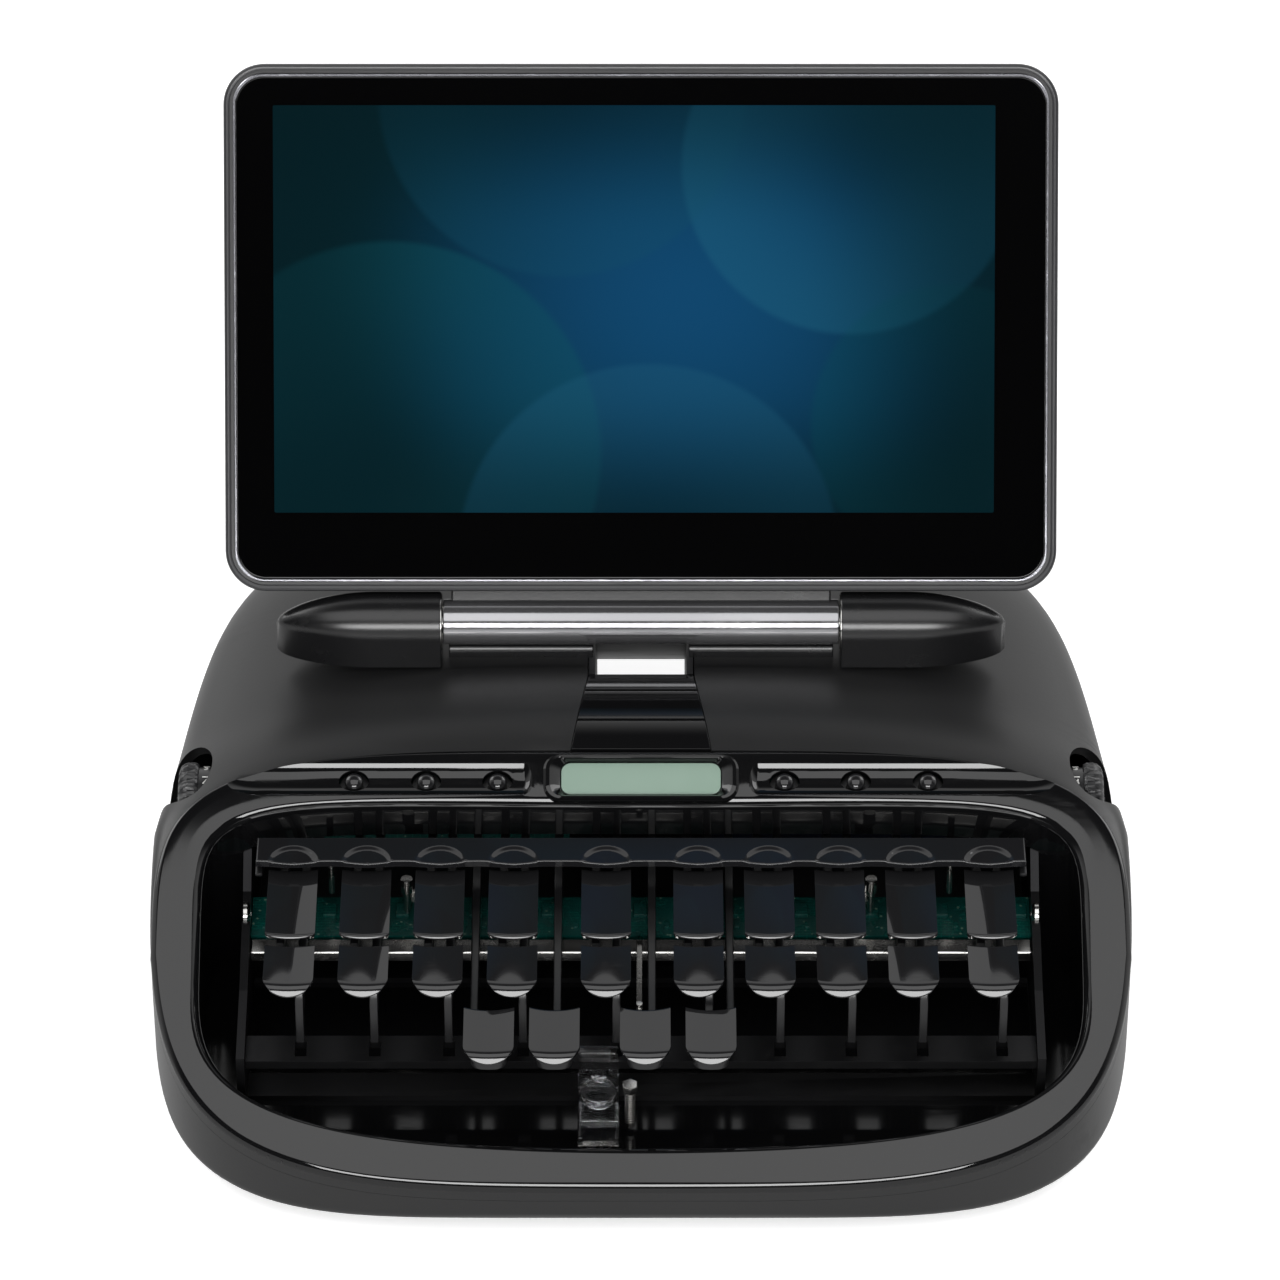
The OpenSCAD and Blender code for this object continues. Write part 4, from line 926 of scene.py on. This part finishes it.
def build_display():
    shell, rim, first = stacked(lid_rows(
        [(1.55, -3.1), (1.5, -3.75), (1.2, -3.95), (0.75, -4.0), (0.3, -3.8), (0.05, -3.35), (0.0, -2.6), (0.0, 4.6),
         (0.22, 5.8), (0.85, 6.95), (1.85, 7.7), (3.1, 8.0), (12, 8.0)]))
    bmesh.ops.contextual_create(shell, geom=rim)
    inside, back = grown_rim(shell, first)
    for v in inside:
        v.co.y = 5.8
    bmesh.ops.contextual_create(shell, geom=back)
    bmesh.ops.recalc_face_normals(shell, faces=shell.faces)
    piece(moved(shell, in_lid()), "display_shell", "lid", LID_SHELL, ["lid_back"], 30)

    # the frame's inner chamfer, in a bright plated finish that paints its highlight
    line = hooped(lid_rows([(2.35, -3.2), (2.35, -3.85), (2.55, -4.0), (2.85, -4.0), (3.05, -3.85), (3.05, -3.2)]))
    piece(moved(line, in_lid()), "painted_highlight_line", "lid", PAINTED_CHAMFER_HIGHLIGHT, ["lid_bezel"], 30)
    bed = hooped(lid_rows([(1.5, -2.6), (1.5, -3.3), (3.9, -3.3), (3.9, -2.6)]))
    piece(moved(bed, in_lid()), "display_gasket", "lid", DARK_MOULDING, [], 30)

    glass, rim, first = stacked(lid_rows([(3.15, -2.7), (3.15, -3.45), (3.25, -3.62), (3.45, -3.7)]))
    bmesh.ops.contextual_create(glass, geom=rim)
    bmesh.ops.contextual_create(glass, geom=first)
    bmesh.ops.recalc_face_normals(glass, faces=glass.faces)
    piece(moved(glass, in_lid()), "cover_glass", "lid", COVER_GLASS, ["display_glass"], 30)
    lit = outline_mesh(rounded_points(PICTURE_W, PICTURE_H, 0.4, 3), 0.06)
    turn = (in_lid() @ Matrix.Translation((-PICTURE_SHIFT, -3.7, LID_GAP + GLASS_SIDE + CHIN + PICTURE_H / 2))
            @ Matrix.Rotation(math.pi / 2, 4, "X"))
    piece(moved(lit, turn), "lit_screen", "lid", LIT_PICTURE, ["display_module"])


# ---------------------------------------------------------------- keys
def tip_drop(f):
    """How far a cap's front has rolled down at distance f from its tip: a curve, then a flatter facet."""
    if f >= 2.6:
        return 0.0
    if f > 0.75:
        return 2.29 - math.sqrt(2.29 ** 2 - (2.6 - f) ** 2)
    return 0.94 + (0.75 - f) * (1.4 + 0.2 * (0.75 - f))


def cap_mesh(x, span, top, bow, roll, lean=0.0, thick=4.6, tail=0.0):
    """A key's cap: dished across, its front bowed in plan and rolled down, with a soft edge and a drawn-in skirt."""
    half = KEY_W / 2 - 0.1
    length = span[1] - span[0] - 0.1
    bm = bmesh.new()
    bmesh.ops.create_grid(bm, x_segments=36, y_segments=60, size=1.0)
    for v in bm.verts:
        s, t = math.sin(math.pi / 2 * v.co.x), (1 - v.co.y) / 2
        corner = clamp((abs(s) - 0.62) / 0.38)
        reach = length - bow * (0.36 * s * s + 0.64 * (1 - math.sqrt(1 - corner * corner)))
        d = (1 - (1 - t) ** 1.6) * reach
        drop = tip_drop((length - d) / roll) * roll
        sag = 0.6 * (1 - s * s) + lean * max(length - 2.6 * roll - d, 0)
        d -= tail * s * s * (1 - clamp(d / 6)) if tail else 0
        v.co = (x + s * half, HINGE_Y - span[0] - d, top - sag - drop)
    rims = rim = open_edges(bm)
    for depth, draw in ((0.7, 0.0), (thick, 1.0)):
        new, rim = grown_rim(bm, rim)
        for v in new:
            near = 1 - clamp((v.co.y - HINGE_Y + span[1]) / 9)
            v.co.z = min(top - depth, v.co.z - 0.35)
            v.co.x -= draw * 0.08 * (v.co.x - x)
            v.co.y += draw * 3.4 * ease(near)
    bmesh.ops.contextual_create(bm, geom=rim)
    bmesh.ops.recalc_face_normals(bm, faces=bm.faces)
    soften(bm, [e for e in rims if e.is_valid], 0.22, 3)
    return bm


def lip_mesh(x, span, top):
    """The set-back lip under the tip of a cap."""
    lip = upright([(x - 4.2, -span[1] + 6)] + [(x + 4.2 * signed_pow(math.sin(math.radians(a)), 0.7),
                   -span[1] + 4.2 - 2.4 * math.cos(math.radians(a))) for a in range(-90, 91, 15)]
                  + [(x + 4.2, -span[1] + 6)], top - 6.2, top - 4.2)
    soften_sharp(lip, 0.3, 2, 40)
    return lip


def lever_mesh(x, points, thick=LEVER_T):
    plate = side_mesh(points, thick, x)
    soften_sharp(plate, 0.35, 2, 50)
    hub = moved(rod(4.0, 2.8, along="X", segments=40), place(x, -PIVOT_U, PIVOT_Z))
    return joined(plate, hub)


def build_keys():
    names = [("s_upper", "s_lower"), ("t", "k"), ("p_left", "w"), ("h", "r_left"), ("star_upper", "star_lower"),
             ("f", "r_right"), ("p_right", "b"), ("l", "g"), ("t_right", "s_right"), ("d", "z")]
    for column, x in enumerate(COLUMN_X):
        up, low = (f"key_{n}" for n in names[column])
        lever = lever_mesh(x - LEVER_DX, [
            (-PIVOT_U, 41.2), (-PIVOT_U, PIVOT_Z + 3.4), (-UPPER_SPAN[0] + 4, 49.2), (-UPPER_SPAN[0] - 1, 50.6),
            (-UPPER_SPAN[1] + 2, 50.6), (-UPPER_SPAN[1] + 2, 47.4), (-UPPER_SPAN[0] - 3, 45), (-UPPER_SPAN[0] + 6,
                                                                                               42.2)])
        piece(lever, f"{up}_lever", up, LEVER_SATIN, [up])
        # the upper caps' rear edges lie under the number bar, whose lip meets them when it alone is pressed
        cap = cap_mesh(x, (UPPER_SPAN[0] - CAP_TAIL, UPPER_SPAN[1]), UPPER_Z, 0.7, 0.3, 0.03)
        piece(cap, f"{up}_cap", up, KEY_GLOSS, [up], 40)
        lever = lever_mesh(x + LEVER_DX, [
            (-PIVOT_U, 41.2), (-PIVOT_U, PIVOT_Z + 3.4), (-55, 46.4), (-64, 44.4), (-LOWER_SPAN[0] - 0.6, 44.4),
            (-LOWER_SPAN[0] - 3, LOWER_Z - 4.6), (-LOWER_SPAN[1] + 4, LOWER_Z - 4.6), (-LOWER_SPAN[1] + 2, 46),
            (-LOWER_SPAN[1] + 2, 34), (-LOWER_SPAN[1] + 4.4, 34), (-LOWER_SPAN[1] + 4.4, 42), (-LOWER_SPAN[1] + 8,
                                                                                               41.2)])
        piece(lever, f"{low}_lever", low, LEVER_SATIN, [low])
        cap = cap_mesh(x, LOWER_SPAN, LOWER_Z, 3.6, 1.0, 0.035)
        piece(cap, f"{low}_cap", low, KEY_GLOSS, [low], 40)
    for name, x, lx in zip("aoeu", VOWEL_X, VOWEL_LEVER_X):
        node = f"key_{name}"
        lever = lever_mesh(lx, [
            (-PIVOT_U, 41.2), (-PIVOT_U, PIVOT_Z + 3.4), (-68, 46.2), (-72, 45.6), (-78, 43.2), (-105, 42.2),
            (-110, VOWEL_Z - 4.5), (-119, VOWEL_Z - 4.5), (-108, 38.9), (-70, 41.2)])
        piece(joined(lever, lip_mesh(x, VOWEL_SPAN, VOWEL_Z)), f"{node}_lever", node, LEVER_SATIN,
              [node])
        piece(cap_mesh(x, VOWEL_SPAN, VOWEL_Z, 3.6, 0.95, tail=0.5), f"{node}_cap", node, KEY_GLOSS,
              [node], 40)


def build_number_bar():
    """The bar over the upper keys: a wavy front edge, dipping over each column, and a scoop there."""
    arm = BAR_HALF_L + 1.6
    bm = bmesh.new()
    bmesh.ops.create_grid(bm, x_segments=420, y_segments=26, size=1.0)
    depth = BAR_SPAN[1] - BAR_SPAN[0]
    for v in bm.verts:
        x, t = v.co.x * (arm + 0.6), (1 - v.co.y) / 2
        near = min(abs(x - c) for c in COLUMN_X)
        wave = 0.5 * math.cos(math.pi * clamp(near / 8.6))
        u = -BAR_SPAN[0] - t * (depth - 0.55 + 0.5 * clamp(wave, -1, 1))
        z = BAR_Z - 0.5 * (1 - t)
        rise, run = (x - min(COLUMN_X, key=lambda c: abs(x - c))) / 6.1, (u + BAR_SPAN[1] - 0.2) / 6.4
        reach = math.hypot(rise, run)
        z -= 0.62 * (1 - ease((reach - 0.82) / 0.2)) * (1.05 - 0.55 * reach)
        v.co = (x, HINGE_Y + u, z)
    rims = rim = open_edges(bm)
    for depth, draw in ((1.9, 0.0), (4.4, 4.4)):
        new, rim = grown_rim(bm, rim)
        for v in new:
            v.co.z = BAR_Z - depth
            v.co.y += draw * ease((HINGE_Y - BAR_SPAN[1] + 5 - v.co.y) / 4)
    bmesh.ops.contextual_create(bm, geom=rim)
    bmesh.ops.recalc_face_normals(bm, faces=bm.faces)
    soften(bm, rims, 0.4, 3)
    piece(bm, "number_bar_top", "number_bar", BAR_GLOSS, ["number_bar"], 40)
    for side in (-1, 1):
        lever = lever_mesh(side * arm, [
            (-PIVOT_U, 41.2), (-PIVOT_U, PIVOT_Z + 3.4), (-BAR_SPAN[0] + 3, 50), (-BAR_SPAN[0] - 1, BAR_Z - 4),
            (-BAR_SPAN[1] + 0.6, BAR_Z - 4), (-BAR_SPAN[1] + 0.6, BAR_Z - 5), (-BAR_SPAN[0] - 1, 48)], 1.8)
        piece(lever, f"number_bar_arm_{hand(side)}", "number_bar", LEVER_SATIN)


# ---------------------------------------------------------------- thumbwheels
def build_thumbwheels():
    for side, node in ((-1, "tension_wheel"), (1, "depth_wheel")):
        turn = place(side * WHEEL_X, -WHEEL_U, WHEEL_Z) @ Matrix.Rotation(side * math.pi / 2, 4, "Y")
        around = 288
        section = [(1.6, -2.5), (WHEEL_R - 0.9, -2.5), (WHEEL_R - 0.35, -2.3), (WHEEL_R, -1.6), (WHEEL_R, 0.2),
                   (WHEEL_R - 0.25, 1.1), (WHEEL_R - 0.9, 1.9), (WHEEL_R - 2.0, 2.4), (WHEEL_R - 3.4, 2.5), (1.6, 2.5)]
        rows = []
        for k, (radius, z) in enumerate(section):
            deep = 0.75 if 2 <= k <= 7 else 0.0
            row = []
            for i in range(around):
                a = math.tau * i / around
                rib = ease(clamp(0.5 + 0.9 * math.cos(18 * (a + 0.05 * z)) + 0.1))
                r = radius - deep * (1 - rib)
                row.append((r * math.cos(a), r * math.sin(a), z))
            rows.append(row)
        bm = hooped(rows)
        piece(moved(bm, turn), f"{node}_grip", node, WHEEL_RUBBER, [node], 35)
        dial = turned([(1.6, -5.9), (WHEEL_R - 1.5, -5.9), (WHEEL_R - 1.25, -5.7), (WHEEL_R - 1.2, -5.4),
                       (WHEEL_R - 1.2, -2.5), (1.6, -2.5), (1.6, -5.9)], 96)
        piece(moved(dial, turn), f"{node}_dial", node, WHEEL_RUBBER)
        marks = []
        for k in range(9):
            digit = bpy.data.curves.new("digit", "FONT")
            digit.body = str(k + 1)
            digit.size = 3.0
            digit.align_x = "CENTER"
            digit.align_y = "CENTER"
            digit.extrude = 0.04
            holder = bpy.data.objects.new("digit", digit)
            bpy.context.scene.collection.objects.link(holder)
            mesh = bpy.data.meshes.new_from_object(holder.evaluated_get(bpy.context.evaluated_depsgraph_get()))
            bpy.data.objects.remove(holder)
            bpy.data.curves.remove(digit)
            bm = bmesh.new()
            bm.from_mesh(mesh)
            bpy.data.meshes.remove(mesh)
            bm = joined(bm, block((1.5, 0.28, 0.08), (0, 1.75, 0)))
            # the numerals stand on the dial's band, one above the next as the wheel turns
            angle = math.radians(40 * k)
            lift = (Matrix.Translation((side * (WHEEL_X - 4.2), HINGE_Y - WHEEL_U, WHEEL_Z))
                    @ Matrix.Rotation(angle + math.radians(-40 - 66), 4, "X") @ Matrix.Translation((0, 0,
                                                                                                    WHEEL_R - 1.19)))
            marks.append(moved(bm, lift))
        piece(joined(*marks), f"{node}_numerals", node, NUMERAL_INK)


# ---------------------------------------------------------------- well and mechanism
def build_well():
    outer = plan_loop(opening_radius, grow=1.55)
    inner = plan_loop(opening_radius, grow=0.02)
    tub = under_face(2.1, outer)
    sliced(tub, (0, 0, 13), (0, 0, 1), clear_inner=True)
    bmesh.ops.holes_fill(tub, edges=open_edges(tub))
    tub = combined(tub, upright(inner, 14.6, 140))
    tub = combined(tub, side_mesh([(-52.4, 14.6), (-12.4, 14.6), (-12.4, 94), (-52.4, 94)], 400))
    piece(tub, "well_tub", "case", WELL_GLOSS, ["key_well"], 24)

    duct = side_mesh([(-10.6, 71), (-10.6, 67.3), (-8.4, 66.9), (56, 3.6), (61.6, 6.2), (65.4, 13.2), (67.2, 22.8),
                      (10, 66), (5.6, 69.1)], 2 * (SLOT_HALF_W + 1.55))
    duct = combined(duct, slot_path(0.0))
    duct = combined(duct, block((60, 60, 20), (0, HINGE_Y, DECK_Z + 9.12)))
    piece(duct, "slot_liner", "case", DARK_MOULDING, ["slot_duct"], 30)


def plain(node, material):
    """A merged copy of a CAD piece whose shape is right, with smooth curves and its own finish."""
    bm = bmesh.new()
    bm.from_mesh(frame["nodes"][node].data)
    bmesh.ops.remove_doubles(bm, verts=bm.verts, dist=1e-6)
    bmesh.ops.scale(bm, vec=(1000, 1000, 1000), verts=bm.verts)
    return piece(bm, f"{node}_finished", BODY_OF[node], material, [node], 30)


BODY_OF = {node: body for body, nodes in frame["record"]["behaviour"]["bodies"].items() for node in nodes}


def build_mechanism():
    rail = side_mesh([(-75, 33.6), (-70, 33.6), (-70, 36.6), (-75, 36.6)], 189.9)
    soften_sharp(rail, 0.5, 3, 40)
    strip = side_mesh([(-108, 29), (-99, 29), (-99, 31.4), (-108, 31.4)], 189.9)
    for x in COLUMN_X:
        strip = combined(strip, block((LEVER_T + 0.8, 5.2, 12), (x + LEVER_DX, HINGE_Y - 103.6, 31)))
    soften_sharp(strip, 0.2, 2, 40)
    piece(rail, "bright_rail", "case", PLATED, ["stop_rail"])
    piece(strip, "stop_strip", "case", BLACK_STEEL)
    board = side_mesh([(-69, 35), (-55, 35), (-55, 36.6), (-69, 36.6)], 189.8)
    parts = [board]
    for k, x in enumerate(COLUMN_X):
        parts.append(block((3.2, 4.2, 1.2), (x + 8.2, HINGE_Y - 60.5, 37.1), 0.2))
        parts.append(block((1.2, 2.0, 0.7), (x - 7.5, HINGE_Y - 65.5, 36.9), 0.1))
    piece(joined(*parts), "sensor_strip", "case", CIRCUIT_BOARD, ["sensor_board"])
    for node, material, slot in (
            ("key_frame", BLACK_STEEL, "dark_plastic"), ("key_pivot_shaft", PLATED, "plated_steel"),
            ("return_springs", PLATED, "plated_steel"), ("control_board", CIRCUIT_BOARD, "circuit_board"),
            ("main_board", CIRCUIT_BOARD, "circuit_board"), ("battery_pack", BATTERY_WRAP, "battery_wrap"),
            ("port_panel", DARK_MOULDING, "dark_plastic"), ("case_screws", PLATED, "plated_steel"),
            ("rubber_feet", FOOT_RUBBER, "foot_rubber"), ("tripod_socket", PLATED, "plated_steel")):
        made = plain(node, material)
        if node == "case_screws":
            # the two side screws sit deeper, since the underside rises there
            for v in made.data.vertices:
                if abs(v.co.x) > 105 * MM:
                    v.co.z += 4.5 * MM
    # plated posts and screws that show between the columns
    for x in (-75.4, 75.2):
        post = moved(rod(0.8, 9, (0, 0, 1.5), bevel=0.2), place(x, -58, 44))
        piece(post, f"post_{hand(x)}", "case", PLATED)
    for x in (-57.0, 56.0):
        screw = joined(rod(1.5, 4.2, (0, 0, 0), segments=24, bevel=0.25), rod(0.85, 9, (0, 0, -4), segments=20),
                       block((2.6, 1.4, 3.4), (math.copysign(2.2, -x), 0, -3.4), 0.2))
        piece(moved(screw, place(x, -61, 46)), f"rail_screw_{hand(x)}", "case", PLATED)
    guide = side_mesh([(-100, 30.5), (-100, 33), (-92, 36.3), (-76, 39.5), (-73.7, 39.5), (-73.7, 33.7), (-86, 31.5)],
                      1.5, -0.4)
    guide = joined(guide, rod(0.9, 4.0, (-0.4, HINGE_Y - 93, 34.5), segments=20))
    soften_sharp(guide, 0.2, 2, 50)
    piece(guide, "centre_guide", "case", PLATED)
    # clear stop block with its plated crossbar and adjusting screw
    clear = joined(block((9.6, 3.0, 13.0), (-10.2, HINGE_Y - 107, 28.0), 0.6, 3),
                   block((9.8, 13.0, 2.2), (-10.2, HINGE_Y - 113, 21.6), 0.6, 3),
                   moved(rod(4.4, 2.8, segments=48, bevel=0.7), place(-10.2, -112, 24.4)),
                   block((1.2, 12.0, 4.0), (-14.6, HINGE_Y - 118, 19.0), 0.4),
                   block((1.2, 12.0, 4.0), (-5.8, HINGE_Y - 118, 19.0), 0.4))
    piece(clear, "clear_stop_block", "case", CLEAR_MOULDING)
    cross = joined(block((10.0, 1.6, 1.4), (-10.2, HINGE_Y - 123, 18.2), 0.3),
                   block((10.0, 0.8, 3.4), (-10.2, HINGE_Y - 123.8, 17.2), 0.2))
    piece(cross, "stop_crossbar", "case", PLATED)
    screw = [moved(rod(1.1, 13, segments=24), place(-2.6, -114, 22.5))]
    for k in range(14):
        screw.append(moved(rod(1.35, 0.42, segments=24, bevel=0.12), place(-2.6, -114, 17.6 + 0.75 * k)))
    screw.append(moved(rod(2.0, 2.2, segments=6, bevel=0.25), place(-2.6, -114, 28.6)))
    piece(joined(*screw), "adjusting_screw", "case", PLATED)
    for side in (-1, 1):
        boss = turned([(0, 0), (2.6, 0), (3.1, 0.4), (3.1, 1.3), (2.2, 2.0), (0.9, 2.1), (0.8, 1.5), (0, 1.5)], 40)
        turn = place(side * 97.0, -66, 41) @ Matrix.Rotation(-side * math.pi / 2, 4, "Y")
        piece(moved(boss, turn), f"frame_stud_{hand(side)}", "case", PLATED)


# ---------------------------------------------------------------- studio
def build_studio():
    scene = bpy.context.scene
    scene.view_settings.view_transform = "Standard"
    hinge = Vector((0, HINGE_Y, AXIS_Z)) * MM
    tilt = math.radians(CAMERA_TILT)
    toward = Vector((0, -math.cos(tilt), math.sin(tilt)))
    above = Vector((0, math.sin(tilt), math.cos(tilt)))
    per_pixel = CAMERA_REACH * CAMERA_SENSOR / CAMERA_LENS / FRAME_PX
    aim = hinge - Vector((1, 0, 0)) * per_pixel * AIM_RIGHT_PX - above * per_pixel * AIM_UP_PX
    camera = bpy.data.objects.new("camera", bpy.data.cameras.new("camera"))
    camera.data.lens = CAMERA_LENS
    camera.data.sensor_width = CAMERA_SENSOR
    camera.data.clip_start = 0.05
    camera.data.clip_end = 30
    camera.location = aim + toward * CAMERA_REACH
    camera.rotation_euler = (math.radians(90.0 - CAMERA_TILT), 0, 0)
    scene.collection.objects.link(camera)
    scene.camera = camera

    world = bpy.data.worlds.new("studio")
    scene.world = world
    world.use_nodes = True
    tree = world.node_tree
    tree.nodes.clear()
    out = tree.nodes.new("ShaderNodeOutputWorld")
    light = tree.nodes.new("ShaderNodeBackground")
    tree.links.new(light.outputs[0], out.inputs["Surface"])
    path = tree.nodes.new("ShaderNodeLightPath")
    where = tree.nodes.new("ShaderNodeTexCoord")
    split = tree.nodes.new("ShaderNodeSeparateXYZ")
    tree.links.new(where.outputs["Generated"], split.inputs[0])
    behind = ramp_node(tree, split.outputs[1], -0.35, 0.12, 0.02, 1.0)
    low = ramp_node(tree, split.outputs[2], 0.93, 0.80, 0.03, 1.0)
    wall = math_node(tree, "MULTIPLY", behind, low)
    mirror = math_node(tree, "MAXIMUM", path.outputs["Is Glossy Ray"], path.outputs["Is Transmission Ray"])
    soft = tree.nodes.new("ShaderNodeMix")
    soft.inputs[2].default_value = WORLD_FILL
    tree.links.new(mirror, soft.inputs[0])
    tree.links.new(wall, soft.inputs[3])
    seen = tree.nodes.new("ShaderNodeMix")
    tree.links.new(path.outputs["Is Camera Ray"], seen.inputs[0])
    tree.links.new(soft.outputs[0], seen.inputs[2])
    seen.inputs[3].default_value = 1.0
    tree.links.new(seen.outputs[0], light.inputs["Strength"])
    light.inputs["Color"].default_value = (1, 1, 1, 1)

    floor_mesh = bmesh.new()
    bmesh.ops.create_grid(floor_mesh, x_segments=1, y_segments=1, size=6.0)
    mesh = bpy.data.meshes.new("floor")
    floor_mesh.to_mesh(mesh)
    floor_mesh.free()
    floor = bpy.data.objects.new("floor", mesh)
    scene.collection.objects.link(floor)
    material, tree, shader, position = new_material("studio floor")
    shader.inputs["Roughness"].default_value = 0.9
    shader.inputs["Specular IOR Level"].default_value = 0.1
    tone = colour_mix(tree, noise_node(tree, position, 3.0), (0.90, 0.90, 0.90), (0.93, 0.93, 0.93))
    path = tree.nodes.new("ShaderNodeLightPath")
    show = math_node(tree, "MAXIMUM", path.outputs["Is Camera Ray"],
                     math_node(tree, "MAXIMUM", path.outputs["Is Glossy Ray"], path.outputs["Is Transmission Ray"]))
    shader.inputs["Emission Color"].default_value = (1, 1, 1, 1)
    tree.links.new(math_node(tree, "MULTIPLY", show, 0.45), shader.inputs["Emission Strength"])
    mirrored = colour_mix(tree, path.outputs["Is Glossy Ray"], tone, (0.25, 0.25, 0.25))
    tree.links.new(mirrored, shader.inputs["Base Color"])
    mesh.materials.append(material)

    for name, direction, distance, size, radiance in SOFTBOXES:
        azimuth, elevation = math.radians(direction[0]), math.radians(direction[1])
        panel = bpy.data.lights.new(name, "AREA")
        panel.shape = "RECTANGLE"
        panel.size, panel.size_y = size
        panel.energy = radiance * math.pi * size[0] * size[1]
        lamp = bpy.data.objects.new(name, panel)
        way = Vector((math.sin(azimuth) * math.cos(elevation), -math.cos(azimuth) * math.cos(elevation),
                      math.sin(elevation)))
        lamp.location = hinge + way * distance
        lamp.rotation_euler = (math.pi / 2 - elevation, 0, azimuth)
        lamp.visible_camera = False
        scene.collection.objects.link(lamp)


WORLD_FILL = 0.45
# name, (azimuth from the front, elevation), distance, (width, height), radiance
SOFTBOXES = [
    ("overhead front box", (0, 63), 1.3, (1.5, 0.95), 2.0),
    ("front strip", (0, 20), 1.9, (1.3, 0.5), 13.0),
    ("left box", (-118, 34), 1.5, (0.7, 0.9), 3.0),
    ("right box", (118, 34), 1.5, (0.7, 0.9), 3.0),
]

build_studio()
build_shells()
build_face_ring()
build_buttons()
build_centre_trim()
build_hinge()
build_display()
build_keys()
build_number_bar()
build_thumbwheels()
build_well()
build_mechanism()
